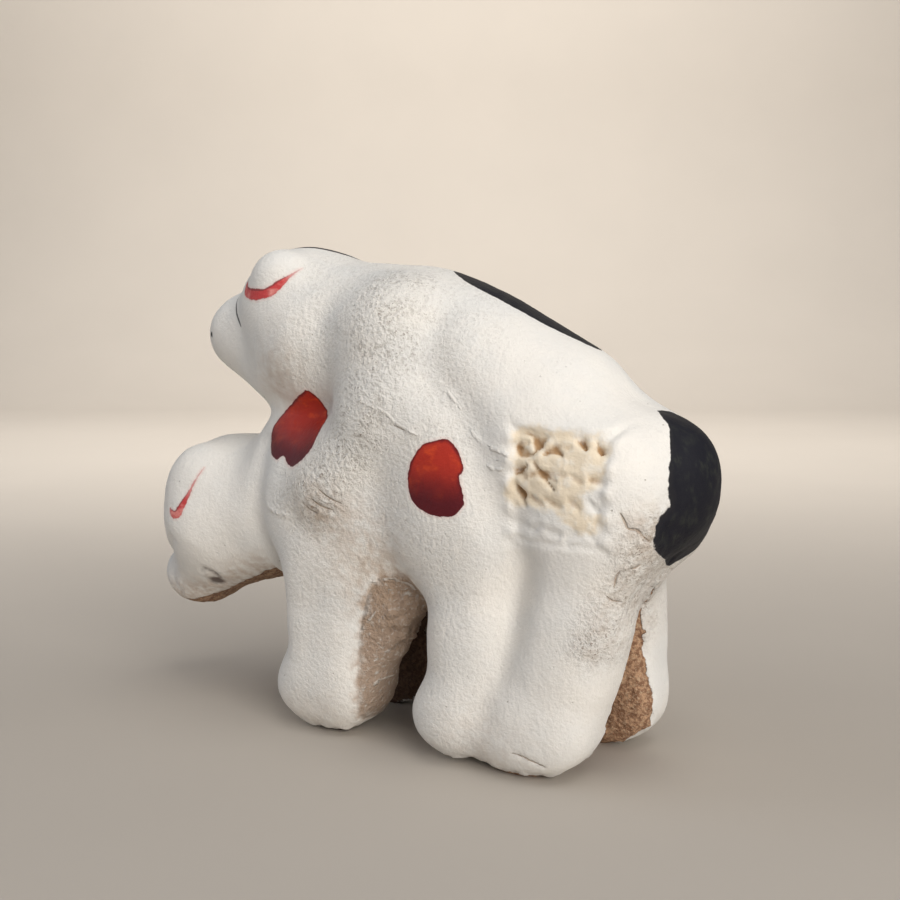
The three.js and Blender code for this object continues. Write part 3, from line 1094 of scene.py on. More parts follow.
    def nearest_line(self, strokes: tuple[Stroke, ...], points: Array) -> tuple[Array, Array]:
        """Finds the line that each point of the near flank lies deepest in or closest to.

        Args:
            strokes: The lines, as seen from the side.
            points: Rows of x, y and z.

        Returns:
            Offset across that line, and its half width there.
        """
        lines = [stroke.across(points[[0, 2]]) for stroke in strokes]
        offsets, widths = (np.stack(rows) for rows in zip(*lines))
        pick = np.argmax(widths - np.abs(offsets), axis=0)[None]
        across = np.take_along_axis(offsets, pick, 0)[0]
        width = np.take_along_axis(widths, pick, 0)[0]
        return across, np.where(Flank.NEAR.has(points), width, UNREACHED)

    def dirt_and_shade_share(self, points: Array) -> Array:
        """Strength of the brown dirt from 0 to 1, with painted shade and warm reflection under the jaws."""
        clouds = sum(strength * ball.haze(points) for ball, strength in self.dirt_and_shade)
        near_jaw = self.jaw_shade.at(self.under_jaw(points))
        return np.clip(clouds + near_jaw + self.rump_dirt * self.on_rump(points), 0, 1)

    def channel_shade(self, points: Array) -> Array:
        """Painted shade on the bare clay of the channel from 0 to 1: some below the head, full behind it,
        none at the rear.
        """
        start = np.maximum(self.least_channel_shade, smooth_step(points[0], *self.channel_shade_start))
        return start * (1 - smooth_step(points[0], *self.channel_shade_end))

    def under_jaw(self, points: Array) -> Array:
        """Depth below the coat's lower edge on the carrier's jaw, far outside behind it."""
        edge = np.interp(points[0], *np.array(self.jaw_edge).T)
        return np.where(points[0] < self.jaw_edge[-1][0], edge - points[2], OUTSIDE)

    def chipped(self, points: Array) -> Array:
        """Depth inside the chipped spot on the near side of the lower jaw."""
        tail = self.chip_tail.depth(points[[0, 2]]) - self.chip_tail_inset
        return np.maximum(self.chip.depth(points), np.where(Flank.NEAR.has(points), tail, UNREACHED))

    def sandy(self, points: Array) -> Array:
        """Strength of the grit: full on the clinging leg and the seam below the tail, less elsewhere."""
        on_arm = self.arm.haze(points) * smooth_step(np.abs(points[1]), *self.arm_sides)
        on_trunk = self.trunk_front.at(points[0]) * (1 - smooth_step(points[0], *self.trunk_end))
        on_trunk = on_trunk * (1 - self.trunk_rise.height + self.trunk_rise.at(points[2]))
        return np.clip(np.maximum(on_arm, on_trunk) + self.on_rump(points) + self.least_sand, 0, 1)

    def on_rump(self, points: Array) -> Array:
        """Strength of the crumpled seam from the tail down to the hind legs' gap, weak on the far side."""
        return self.rump.haze(points) * (1 - self.far_rump_loss.at(points[1]))

    def bare(self, points: Array, channel: Channel) -> Array:
        """Depth inside the clay without its coat: the legs' inner faces, the soles, the slit and the jaw.

        Args:
            points: Rows of x, y and z.
            channel: The channel between the legs.

        Returns:
            Depths in millimetres, negative where the coat is.
        """
        rear = self.rear_edge.at(points[0]) * (1 - smooth_step(points[2], *self.rear_top))
        inner = self.coat_edge + rear - channel.distance(points)
        slit = np.where(points[0] > self.slit_start, self.slit.depth(points[1:]), OUTSIDE)
        return np.max((inner, slit, self.sole - points[2], self.under_jaw(points)), axis=0)


# The group in the scene


def in_line(known: dict[str, Array], name: str) -> Array:
    """How deep points lie inside the lines of one kind: half width less the offset across them."""
    return known[f"{name}_reach"] - np.abs(known[f"{name}_across"])


def add_mesh(name: str, points: Array, quads: Array) -> bpy.types.Mesh:
    """A smoothly shaded mesh in metres.

    Args:
        name: Its name.
        points: A row of x, y and z in millimetres for each vertex.
        quads: Four vertex numbers for each face.

    Returns:
        The mesh.
    """
    mesh = bpy.data.meshes.new(name)
    mesh.from_pydata(points * MM, [], quads)
    mesh.polygons.foreach_set("use_smooth", np.ones(len(quads), bool))
    return mesh


def add_object(name: str, content: bpy.types.ID) -> bpy.types.Object:
    """Puts a mesh, light or camera into the scene as an object."""
    item = bpy.data.objects.new(name, content)
    bpy.context.scene.collection.objects.link(item)
    return item


@dataclass(frozen=True)
class ClayDogs:
    """The group as one mesh, with its fine relief and the measures that its finish reads."""

    lump: ClayLump = field(default_factory=ClayLump)
    mould: Mould = field(default_factory=Mould)
    painting: Painting = field(default_factory=Painting)
    seal: Seal = field(default_factory=Seal)
    wear: Wear = field(default_factory=Wear)
    dents: Grain = Grain(3.4, 3, height=0.1)
    grit: Grain = Grain(0.7, 8, 2)
    sand_height: float = 0.03
    rump_height: float = 0.12
    edge_tear: Grain = Grain(1.3, 21)
    jaw_tear: float = 0.1
    leg_tear: Profile = Profile((-14.0, -10.0), 0.35)
    uncoated: Profile = Profile((-0.12, 0.12))
    coat: float = 0.14
    bare_clay: Grain = Grain(0.8, 4, 2, height=0.12)
    broken_edge: Grain = Grain(0.85, 41, 2, height=0.5)
    broken_width: float = 0.5
    broken_start: Range = (-13.0, -10.0)
    crumbs: Grain = Grain(0.8, 51, 2)
    crumb_start: Range = (1.0, 3.0)
    crumb_profile: Profile = Profile((0.0, 0.4), 0.45)
    scrape_wander: Grain = Grain(1.1, 31, 2, height=0.2)
    scrape_profile: Profile = Profile((-0.25, 0.35))
    scrape_depth: float = 0.1
    scrape_marks: Grain = Grain(0.75, 33, 2, height=0.09)
    crack: Profile = Profile((-0.2, 0.06), 0.16)
    eye: Profile = Profile((-0.3, 0.1), 0.06)
    chip: Profile = Profile((-0.3, 0.2), 0.15)
    ridge: Profile = Profile((-0.3, 0.05), 0.07)
    muzzle: Profile = Profile((-0.9, 0.25), 0.25)
    above_ground: Profile = Profile((0.05, 0.6))
    least_lift: float = 0.004
    probe: float = 0.7

    def measures(self, points: Array) -> dict[str, Array]:
        """Everything the finish needs to know at each vertex.

        Args:
            points: Rows of x, y and z on the surface.

        Returns:
            Named values, lengths in millimetres.
        """
        painting, wear = self.painting, self.wear
        lines = {
            "ear": painting.ears(points),
            "eye": painting.eyes(points),
            "crack": wear.nearest_line(wear.cracks, points),
            "ridge": wear.nearest_line(wear.ridges, points),
        }
        known = {
            "red": painting.red(points),
            "black": painting.black(points),
            "spot_height": painting.spot_height(points),
            "torn": wear.torn_face.depth(points[[0, 2]]),
            "bare": wear.bare(points, self.lump.channel),
            "worn": self.seal.bare(points),
            "chip": wear.chipped(points),
            # Painted shade on the bare clay in the channel and under the carrier's jaw
            "deep": wear.channel_shade(points),
            # Dirt, with painted shade and warm reflection under the jaws
            "dirt_and_shade": wear.dirt_and_shade_share(points),
            "sand": wear.sandy(points),
            "stamped": self.seal.relief(points),
        }
        for name, (across, reach) in lines.items():
            known.update({f"{name}_across": across, f"{name}_reach": reach})
        return known

    def roughness(self, points: Array, known: dict[str, Array], uncoated: Array) -> Array:
        """Unevenness of the bare clay, of the coat's broken edge round it and of the torn leg.

        Args:
            points: Rows of x, y and z.
            known: The measures at the same points.
            uncoated: 1 where the coat is missing.

        Returns:
            Heights in millimetres.
        """
        edge = bell(known["bare"], self.broken_width) * smooth_step(points[0], *self.broken_start)
        rough = self.bare_clay.at(points) * uncoated + edge * self.broken_edge.at(points)
        crumbled = known["torn"] * smooth_step(points[0], *self.crumb_start) * self.crumbs.at(points)
        return rough + self.crumb_profile.at(known["torn"]) * np.clip(crumbled, -1, 1)

    def relief(self, points: Array, known: dict[str, Array]) -> Array:
        """Height of the fine relief along the normal: dents, coat, stamp, cracks and rough clay.

        Args:
            points: Rows of x, y and z.
            known: The measures at the same points.

        Returns:
            Heights in millimetres, outwards positive.
        """
        tear = self.jaw_tear + self.leg_tear.at(points[0])
        uncoated = self.uncoated.at(known["bare"] + tear * self.edge_tear.at(points))
        gritty = self.sand_height * known["sand"] + self.rump_height * self.wear.on_rump(points)
        scraped = self.scrape_profile.at(known["torn"] + self.scrape_wander.at(points))
        uneven = self.dents.at(points) + gritty * self.grit.at(points)
        uneven = uneven + self.roughness(points, known, uncoated)
        lowered = self.coat * uncoated + self.crack.at(in_line(known, "crack"))
        lowered = lowered + self.eye.at(in_line(known, "eye")) + self.chip.at(known["chip"])
        lowered = lowered + scraped * (self.scrape_depth - self.scrape_marks.at(points))
        lowered = lowered + self.muzzle.at(self.wear.muzzle_line.depth(points[[0, 2]]))
        raised = self.ridge.at(in_line(known, "ridge")) + known["stamped"]
        return self.above_ground.at(points[2]) * (uneven + raised - lowered)

    def build(self) -> bpy.types.Object:
        """Makes the mesh object, in metres, with the measures as vertex values.

        Returns:
            The finished object, before its material.
        """
        vertices, quads = self.mould.surface(self.lump)
        slope = gradient(self.lump, vertices, self.lump.distance(vertices), self.probe)
        normals = slope / np.linalg.norm(slope, axis=0)
        known = self.measures(vertices)
        raised = vertices + normals * self.relief(vertices, known)
        raised[2] = np.where(vertices[2] <= 0, 0, np.maximum(raised[2], self.least_lift))
        mesh = add_mesh("pressed_clay_dogs", raised.T, quads)
        for name, values in known.items():
            layer = mesh.attributes.new(name, "FLOAT", "POINT")
            layer.data.foreach_set("value", values.astype(np.float32))
        mesh.update()
        return add_object("pressed_clay_dogs", mesh)


# Finishes


class Wire:
    """A socket's output that adds Math nodes when it is used in an expression."""

    def __init__(self, board: "Board", socket: bpy.types.NodeSocket) -> None:
        """Wraps a socket of a node on the board."""
        self.board = board
        self.socket = socket

    def _math(self, operation: str, *values: "Wire | float") -> "Wire":
        """Adds a Math node."""
        return self.board.node("ShaderNodeMath", {"operation": operation}, dict(enumerate(values)))

    def __add__(self, other: "Wire | float") -> "Wire":
        """Sum."""
        return self._math("ADD", self, other)

    def __radd__(self, other: float) -> "Wire":
        """Sum."""
        return self._math("ADD", other, self)

    def __sub__(self, other: "Wire | float") -> "Wire":
        """Difference."""
        return self._math("SUBTRACT", self, other)

    def __rsub__(self, other: float) -> "Wire":
        """Difference the other way round."""
        return self._math("SUBTRACT", other, self)

    def __mul__(self, other: "Wire | float") -> "Wire":
        """Product."""
        return self._math("MULTIPLY", self, other)

    def __rmul__(self, other: float) -> "Wire":
        """Product."""
        return self._math("MULTIPLY", other, self)

    def __abs__(self) -> "Wire":
        """Size without sign."""
        return self._math("ABSOLUTE", self)

    def most(self, other: "Wire | float") -> "Wire":
        """The larger of two values."""
        return self._math("MAXIMUM", self, other)

    def step(self, low: float, high: float) -> "Wire":
        """Rises smoothly from 0 at low to 1 at high."""
        inputs = {"Value": self, "From Min": low, "From Max": high}
        return self.board.node("ShaderNodeMapRange", {"interpolation_type": "SMOOTHSTEP"}, inputs)


@dataclass(frozen=True)
class Noise:
    """Soft random blobs of a size in millimetres.

    detail is the number of finer layers and rough their weight. stretch says how much longer the blobs
    are along x, y and z. With a rise, values below that range become 0 and values above it 1.
    """

    size: float
    detail: float = 3.0
    rise: Range | None = None
    rough: float = 0.55
    stretch: Place = (1, 1, 1)


class Board:
    """The node tree of one material."""

    # Socket numbers of a Mix node, whose names repeat for each kind of value
    SHARE = 0
    NUMBERS = (2, 3)
    COLOURS = (6, 7)
    MIXED_COLOUR = 2

    def __init__(self, name: str) -> None:
        """Makes a material whose tree holds only the object's own coordinates."""
        self.material = bpy.data.materials.new(name)
        self.material.use_nodes = True
        self.tree = self.material.node_tree
        self.tree.nodes.clear()
        self.place = self.node("ShaderNodeTexCoord", output="Object")

    def node(
        self,
        kind: str,
        settings: dict[str, object] | None = None,
        inputs: dict[str | int, object] | None = None,
        output: str | int = 0,
    ) -> Wire:
        """Adds a node.

        Args:
            kind: Node type.
            settings: Properties, set before the inputs.
            inputs: Values or wires, by socket name or number.
            output: Which output the returned wire takes.

        Returns:
            The chosen output.
        """
        node = self.tree.nodes.new(kind)
        for name, value in (settings or {}).items():
            setattr(node, name, value)
        for name, value in (inputs or {}).items():
            if isinstance(value, Wire):
                self.tree.links.new(value.socket, node.inputs[name])
            else:
                node.inputs[name].default_value = value
        return Wire(self, node.outputs[output] if node.outputs else None)

    def value(self, name: str) -> Wire:
        """A vertex value of the mesh."""
        return self.node("ShaderNodeAttribute", {"attribute_name": name}, output="Fac")

    def inside(self, name: str) -> Wire:
        """How deep places lie inside the lines of one kind: half width less the offset across them."""
        return self.value(f"{name}_reach") - abs(self.value(f"{name}_across"))

    def noise(self, kind: Noise) -> Wire:
        """Adds soft noise.

        Args:
            kind: Size and layers of the noise.

        Returns:
            Values from 0 to 1.
        """
        scale = tuple(1 / (MM * kind.size * longer) for longer in kind.stretch)
        place = self.node("ShaderNodeMapping", None, {"Vector": self.place, "Scale": scale})
        inputs = {"Vector": place, "Scale": 1.0, "Detail": kind.detail, "Roughness": kind.rough}
        noise = self.node("ShaderNodeTexNoise", None, inputs)
        return noise.step(*kind.rise) if kind.rise else noise

    def wobble(self, kind: Noise, width: float) -> Wire:
        """Noise that moves an edge in and out over a width in millimetres."""
        return (self.noise(kind) - 0.5) * width

    def cells(self, size: float) -> Wire:
        """Distance from the nearest of points scattered about size millimetres apart, in shares of it."""
        inputs = {"Vector": self.place, "Scale": 1 / (MM * size)}
        return self.node("ShaderNodeTexVoronoi", {"feature": "F1"}, inputs)

    def mix(self, share: Wire | float, below: Wire | Colour, above: Wire | Colour) -> Wire:
        """Lays one colour over another by a share from 0 to 1."""
        layers = {self.SHARE: share}
        for number, colour in zip(self.COLOURS, (below, above)):
            layers[number] = colour if isinstance(colour, Wire) else (*colour, 1.0)
        return self.node("ShaderNodeMix", {"data_type": "RGBA"}, layers, output=self.MIXED_COLOUR)

    def blend(self, share: Wire, below: Wire | float, above: Wire | float) -> Wire:
        """Lays one number over another by a share from 0 to 1."""
        layers = {self.SHARE: share, **dict(zip(self.NUMBERS, (below, above)))}
        return self.node("ShaderNodeMix", {"data_type": "FLOAT"}, layers)

    def surface(self, colour: Wire, roughness: Wire, height: Wire) -> bpy.types.Material:
        """Ends the tree in a plain shader with a bump of the given height in millimetres.

        Args:
            colour: Base colour.
            roughness: Roughness.
            height: Fine relief.

        Returns:
            The material.
        """
        normal = self.node("ShaderNodeBump", None, {"Strength": 1.0, "Distance": MM, "Height": height})
        inputs = {"Base Color": colour, "Roughness": roughness, "Normal": normal}
        inputs["Specular IOR Level"] = REFLECTANCE
        shader = self.node("ShaderNodeBsdfPrincipled", None, inputs)
        self.node("ShaderNodeOutputMaterial", None, {"Surface": shader})
        return self.material


@dataclass(frozen=True)
class ChalkCoat:
    """Matt white ground of brushed chalk: pores, grit, dirt in the hollows, worn tan places, painted shade.
    """

    white: Colour = (0.84, 0.81, 0.755)
    cool: Colour = (0.73, 0.735, 0.72)
    grit: Colour = (0.34, 0.3, 0.25)
    # Brown of the dirt, of the cracks and of the painted shade under the jaws
    dirt_and_shade: Colour = (0.43, 0.3, 0.2)
    # Worn tan of the foreleg's rear face, darkened as painted shade
    torn_tan_and_shade: Colour = (0.43, 0.305, 0.22)
    pore: Colour = (0.25, 0.2, 0.16)
    clouds: Noise = Noise(6.0, 4.0, (0.35, 0.7))
    cloud_share: float = 0.5
    grain: Noise = Noise(0.34, rough=0.65)
    grain_height: float = 0.06
    sand_height: float = 0.3
    sand_patches: Noise = Noise(1.6, 3.0, (0.3, 0.6))
    speck_rise: Range = (0.47, 0.66)
    speck_share: float = 0.5
    dots: Noise = Noise(0.17, 1.0, (0.6, 0.7))
    dot_share: float = 0.85
    pore_spacing: float = 1.1
    pore_radius: float = 0.09
    pore_rise: Range = (0.0, 0.05)
    pore_slope: Range = (0.0, 0.08)
    pore_patches: Noise = Noise(1.7, 2.0, (0.5, 0.62))
    pore_share: float = 0.5
    pore_depth: float = 0.04
    torn_edge: Noise = Noise(0.9, 4.0)
    torn_edge_width: float = 1.6
    torn_rise: Range = (-0.6, 0.5)
    torn_patches: Noise = Noise(0.35, 4.0, (0.15, 0.5))
    torn_share: float = 0.92
    torn_slope: Range = (-0.1, 0.3)
    torn_grain: Noise = Noise(0.4, 4.0, rough=0.65)
    torn_height: float = 0.5
    # Patches of the dirt and of the painted shade under the jaws
    stain_and_shade_patches: Noise = Noise(0.9, 4.0, (0.25, 0.7))
    stain_and_shade_share: float = 0.65
    flakes: Noise = Noise(0.8, 3.0, (0.4, 0.58))
    ridge_rise: Range = (-0.05, 0.06)
    ridge_share: float = 0.6
    ridge_slope: Range = (-0.12, 0.06)
    ridge_height: float = 0.09
    crack_rise: Range = (-0.03, 0.04)
    crack_share: float = 0.6
    crack_slope: Range = (-0.06, 0.05)
    crack_depth: float = 0.12
    brush: Noise = Noise(0.7, stretch=(1.0, 1.0, 2.5))
    brush_height: float = 0.05

    def pores(self, board: Board) -> Wire:
        """Depth inside the pores, in shares of their spacing."""
        return self.pore_radius - board.cells(self.pore_spacing)

    def colour(self, board: Board) -> Wire:
        """Colour of the coat, with each kind of mark and the painted shade laid over the one before.

        Args:
            board: The node tree.

        Returns:
            The colour.
        """
        base = board.mix(board.noise(self.clouds) * self.cloud_share, self.white, self.cool)
        patches = board.value("sand") * board.noise(self.sand_patches)
        specks = (1 - board.noise(self.grain)).step(*self.speck_rise) * patches
        base = board.mix(specks * self.speck_share, base, self.grit)
        base = board.mix(board.noise(self.dots) * patches * self.dot_share, base, self.pore)
        pores = self.pores(board).step(*self.pore_rise) * board.noise(self.pore_patches)
        base = board.mix(pores * self.pore_share, base, self.pore)
        # Worn tan on the foreleg's rear face, partly painted shade
        torn = board.value("torn") + board.wobble(self.torn_edge, self.torn_edge_width)
        torn = torn.step(*self.torn_rise) * board.noise(self.torn_patches)
        base = board.mix(torn * self.torn_share, base, self.torn_tan_and_shade)
        # Dirt, and painted shade with warm reflection under the jaws
        stain_and_shade = board.value("dirt_and_shade") * board.noise(self.stain_and_shade_patches)
        base = board.mix(stain_and_shade * self.stain_and_shade_share, base, self.dirt_and_shade)
        ridge = board.inside("ridge").step(*self.ridge_rise) * board.noise(self.flakes)
        base = board.mix(ridge * self.ridge_share, base, self.white)
        crack = board.inside("crack").step(*self.crack_rise)
        return board.mix(crack * self.crack_share, base, self.dirt_and_shade)

    def height(self, board: Board) -> Wire:
        """Sum of the brush marks, grit, pores, cracks, flakes and torn clay.

        Args:
            board: The node tree.

        Returns:
            Height in millimetres.
        """
        strokes = board.noise(self.brush) * self.brush_height
        fine = board.noise(self.grain) * (self.grain_height + board.value("sand") * self.sand_height)
        pores = self.pores(board).step(*self.pore_slope) * -self.pore_depth
        crack = board.inside("crack").step(*self.crack_slope) * -self.crack_depth
        ridge = board.inside("ridge").step(*self.ridge_slope) * board.noise(self.flakes) * self.ridge_height
        torn = board.value("torn").step(*self.torn_slope) * board.noise(self.torn_grain) * self.torn_height
        return strokes + fine + pores + crack + ridge + torn


@dataclass(frozen=True)
class BareClay:
    """The uncoated clay: brown and coarse inside the legs, pale in the stamped square."""

    brown: Colour = (0.56, 0.35, 0.215)
    umber: Colour = (0.27, 0.145, 0.085)
    # Dark brown of the chip on the jaw and of the painted shade in the channel
    chip_and_shade_dark: Colour = (0.075, 0.045, 0.035)
    straw: Colour = (0.62, 0.46, 0.31)
    pale: Colour = (0.79, 0.685, 0.53)
    pale_dark: Colour = (0.4, 0.25, 0.13)
    chalky: Colour = (0.83, 0.79, 0.71)
    edge: Noise = Noise(1.3, 4.0, rough=0.65)
    edge_width: float = 0.9
    edge_rise: Range = (-0.03, 0.05)
    pits: Noise = Noise(0.4, 3.0, (0.4, 0.62), rough=0.7)
    grains: Noise = Noise(0.22, 2.0, (0.52, 0.72))
    grain_share: float = 0.7
    # Strength of the painted shade in the channel
    channel_shade_share: float = 0.75
    coarse: Noise = Noise(0.42, 4.0, rough=0.7)
    coarse_height: float = 0.3
    lump_spacing: float = 0.35
    lump_height: float = 0.08
    worn_edge: Noise = Noise(1.1, 4.0, rough=0.6)
    worn_edge_width: float = 1.6
    worn_rise: Range = (-0.3, 0.4)
    dust: Noise = Noise(0.9, 4.0, (0.45, 0.7))
    dust_share: float = 0.6
    cut_grain: Noise = Noise(0.6)
    cut_height: float = 0.3
    cut_rise: Range = (-0.66, -0.3)
    worn_grain: Noise = Noise(0.45)
    worn_height: float = 0.11

    def share(self, board: Board) -> Wire:
        """1 where the brown clay shows, with a torn edge."""
        return (board.value("bare") + board.wobble(self.edge, self.edge_width)).step(*self.edge_rise)

    def colour(self, board: Board) -> Wire:
        """Brown clay with darker pits and straw-coloured grains, and painted shade in the channel and under
        the jaw.
        """
        base = board.mix(board.noise(self.pits), self.umber, self.brown)
        base = board.mix(board.noise(self.grains) * self.grain_share, base, self.straw)
        # Painted shade in the channel and under the jaw
        return board.mix(board.value("deep") * self.channel_shade_share, base, self.chip_and_shade_dark)

    def height(self, board: Board) -> Wire:
        """Coarse grain in millimetres."""
        coarse = board.noise(self.coarse) * self.coarse_height
        return coarse + board.cells(self.lump_spacing) * self.lump_height

    def square_share(self, board: Board) -> Wire:
        """1 where the stamped square has lost its coat."""
        edge = board.wobble(self.worn_edge, self.worn_edge_width)
        return (board.value("worn") + edge).step(*self.worn_rise)

    def square_colour(self, board: Board) -> Wire:
        """Pale clay, browner where the stamp went deep."""
        dusty = board.mix(board.noise(self.dust) * self.dust_share, self.pale, self.chalky)
        level = board.value("stamped") + board.noise(self.cut_grain) * self.cut_height
        return board.mix(level.step(*self.cut_rise), self.pale_dark, dusty)

    def square_height(self, board: Board) -> Wire:
        """Soft grain of the stamped square in millimetres."""
        return board.noise(self.worn_grain) * self.worn_height


@dataclass(frozen=True)
class Lacquer:
    """A thick paint: its colour, its darker rim and its lighter streaks, which on the red and black are
    painted highlights.
    """

    body: Colour
    rim: Colour
    streak_and_sheen: Colour
    rim_width: float
    roughness: float
    thickness: float = 0.05
    patches: Noise = Noise(1.9)
    patch_rise: Range = (0.4, 0.62)
    rim_wobble: float = 0.5
    streaks: Noise = Noise(0.5, 3.0, (0.42, 0.72), stretch=(3.2, 1.0, 1.6))

    def colour(self, board: Board, depth: Wire) -> Wire:
        """Colour at a depth inside the painted area.

        Args:
            board: The node tree.
            depth: Distance inside the painted edge in millimetres.

        Returns:
            The paint's colour.
        """
        uneven = board.noise(self.patches)
        inside_rim = (depth + uneven * self.rim_wobble - self.rim_wobble / 2).step(0.0, self.rim_width)
        streaky = board.noise(self.streaks) * uneven.step(*self.patch_rise)
        return board.mix(inside_rim, self.rim, board.mix(streaky, self.body, self.streak_and_sheen))


# The orange streaks are painted highlights of the gloss
RED = Lacquer(
    body=(0.42, 0.03, 0.016),
    rim=(0.15, 0.01, 0.012),
    streak_and_sheen=(0.66, 0.075, 0.018),
    rim_width=0.3,
    roughness=0.5,
)
# The lighter streaks are brush marks with a painted sheen
BLACK = Lacquer(
    body=(0.006, 0.006, 0.011),
    rim=(0.014, 0.013, 0.016),
    streak_and_sheen=(0.022, 0.024, 0.021),
    rim_width=0.3,
    roughness=0.62,
)
EAR_RED = Lacquer(
    body=(0.6, 0.03, 0.032),
    rim=(0.45, 0.03, 0.035),
    streak_and_sheen=(0.8, 0.3, 0.26),
    rim_width=0.14,
    roughness=0.55,
)
# Where the ear brush pooled, and the painted shade low on the red spots
MAROON: Colour = (0.1, 0.008, 0.012)
BLUSH: Colour = (0.78, 0.52, 0.47)


@dataclass(frozen=True)
class PaintedClay:
    """The whole finish: coat, bare clay and the three paints, laid over each other."""

    coat: ChalkCoat = field(default_factory=ChalkCoat)
    clay: BareClay = field(default_factory=BareClay)
    coat_roughness: float = 0.82
    clay_roughness: float = 0.95
    clay_drop: float = 0.2
    chip_edge: Noise = Noise(0.5)
    chip_wobble: float = 0.4
    chip_rise: Range = (-0.15, 0.4)
    chip_share: float = 0.85
    paint_edge: Noise = Noise(0.6, 4.0, rough=0.6)
    paint_wobble: float = 0.3
    paint_rise: Range = (-0.03, 0.03)
    covered: float = 0.35
    shine: Noise = Noise(1.2)
    shine_spread: float = 0.2
    blush_rise: Range = (-0.32, 0.0)
    blush_share: float = 0.35
    # Painted shade on the red spots: an uneven line below which they turn maroon
    run: Noise = Noise(2.2, 2.0)
    low_shade_wobble: float = 1.6
    low_shade_rise: Range = (-1.9, 1.5)
    ear_edge: Noise = Noise(0.55, rough=0.65)
    ear_wobble: float = 0.34
    ear_rise: Range = (-0.05, 0.07)
    brush_load: Range = (0.02, 0.3)
    dry_share: float = 0.4
    loaded_share: float = 0.55
    dark_edge: float = 0.5
    dark_rise: Range = (0.0, 0.08)
    dark_share: float = 0.6
    eye_wobble: float = 0.15
    eye_rise: Range = (-0.05, 0.05)
    eye_share: float = 0.85

    def ground(self, board: Board, bare: Wire, worn: Wire) -> Wire:
        """Colour before any paint.

        Args:
            board: The node tree.
            bare: Share of the brown clay.
            worn: Share of the pale clay in the square.

        Returns:
            Coat and clay, with the chip on the jaw.
        """
        chip = board.value("chip") + board.wobble(self.chip_edge, self.chip_wobble)
        colour = board.mix(worn, self.coat.colour(board), self.clay.square_colour(board))
        colour = board.mix(bare, colour, self.clay.colour(board))
        return board.mix(chip.step(*self.chip_rise) * self.chip_share, colour, self.clay.chip_and_shade_dark)

    def ear_colour(self, board: Board, depth: Wire) -> Wire:
        """Red of the ear strokes, darker along the upper edge where the brush pooled."""
        upper = board.value("ear_across") - board.value("ear_reach") * self.dark_edge
        share = upper.step(*self.dark_rise) * self.dark_share
        return board.mix(share, EAR_RED.colour(board, depth), MAROON)

    def spot_colour(self, board: Board, depth: Wire) -> Wire:
        """Red of the spots, darkened to maroon towards the bottom as painted shade."""
        height = board.value("spot_height") + board.wobble(self.run, self.low_shade_wobble)
        return board.mix(height.step(*self.low_shade_rise), MAROON, RED.colour(board, depth))

    def build(self) -> bpy.types.Material:
        """Builds the material.

        Returns:
            The finished material.
        """
        board = Board(SLOT)
        bare, worn = self.clay.share(board), self.clay.square_share(board)
        wobble = board.wobble(self.paint_edge, self.paint_wobble)
        red_depth, black_depth = board.value("red") + wobble, board.value("black") + wobble
        ear_depth = board.inside("ear") + board.wobble(self.ear_edge, self.ear_wobble)
        eye_depth = board.inside("eye") + wobble * self.eye_wobble
        red, black = red_depth.step(*self.paint_rise), black_depth.step(*self.paint_rise)
        ear, eye = ear_depth.step(*self.ear_rise), eye_depth.step(*self.eye_rise)

        blush = red_depth.most(ear_depth).step(*self.blush_rise)
        colour = board.mix(blush * self.blush_share, self.ground(board, bare, worn), BLUSH)
        loaded = board.value("ear_reach").step(*self.brush_load) * self.loaded_share + self.dry_share
        colour = board.mix(ear * loaded, colour, self.ear_colour(board, ear_depth))
        colour = board.mix(red, colour, self.spot_colour(board, red_depth))
        colour = board.mix(eye * self.eye_share, colour, BLACK.body)
        colour = board.mix(black, colour, BLACK.colour(board, black_depth))

        painted = red.most(black)
        gloss = board.noise(self.shine) * self.shine_spread + (RED.roughness - self.shine_spread / 2)
        gloss = gloss + black * (BLACK.roughness - RED.roughness)
        roughness = board.blend(bare.most(worn), self.coat_roughness, self.clay_roughness)
        roughness = board.blend(painted.most(ear), roughness, gloss)

        brushed = self.coat.height(board)
        height = board.blend(painted, brushed, brushed * self.covered + RED.thickness)
        height = board.blend(worn, height, self.clay.square_height(board))
        height = board.blend(bare, height, self.clay.height(board) - self.clay_drop)
        return board.surface(colour, roughness, height)


# The room


def aim(item: bpy.types.Object, at: Place, direction: Vector) -> None:
    """Stands a lamp or camera at a place in millimetres, facing a direction."""
    item.location = Vector(at) * MM
    item.rotation_mode = "QUATERNION"
    item.rotation_quaternion = direction.to_track_quat("-Z", "Y")


@dataclass(frozen=True)
class Lamp:
    """A square soft light: its place, the point it faces and its side in millimetres, and its watts."""

    name: str
    at: Place
    faces: Place
    side: float
    power: float
    tint: Colour

    def build(self) -> None:
        """Puts the light into the scene."""
        light = bpy.data.lights.new(self.name, "AREA")
        light.shape, light.size, light.energy, light.color = "SQUARE", self.side * MM, self.power, self.tint
        aim(add_object(self.name, light), self.at, Vector(self.faces) - Vector(self.at))


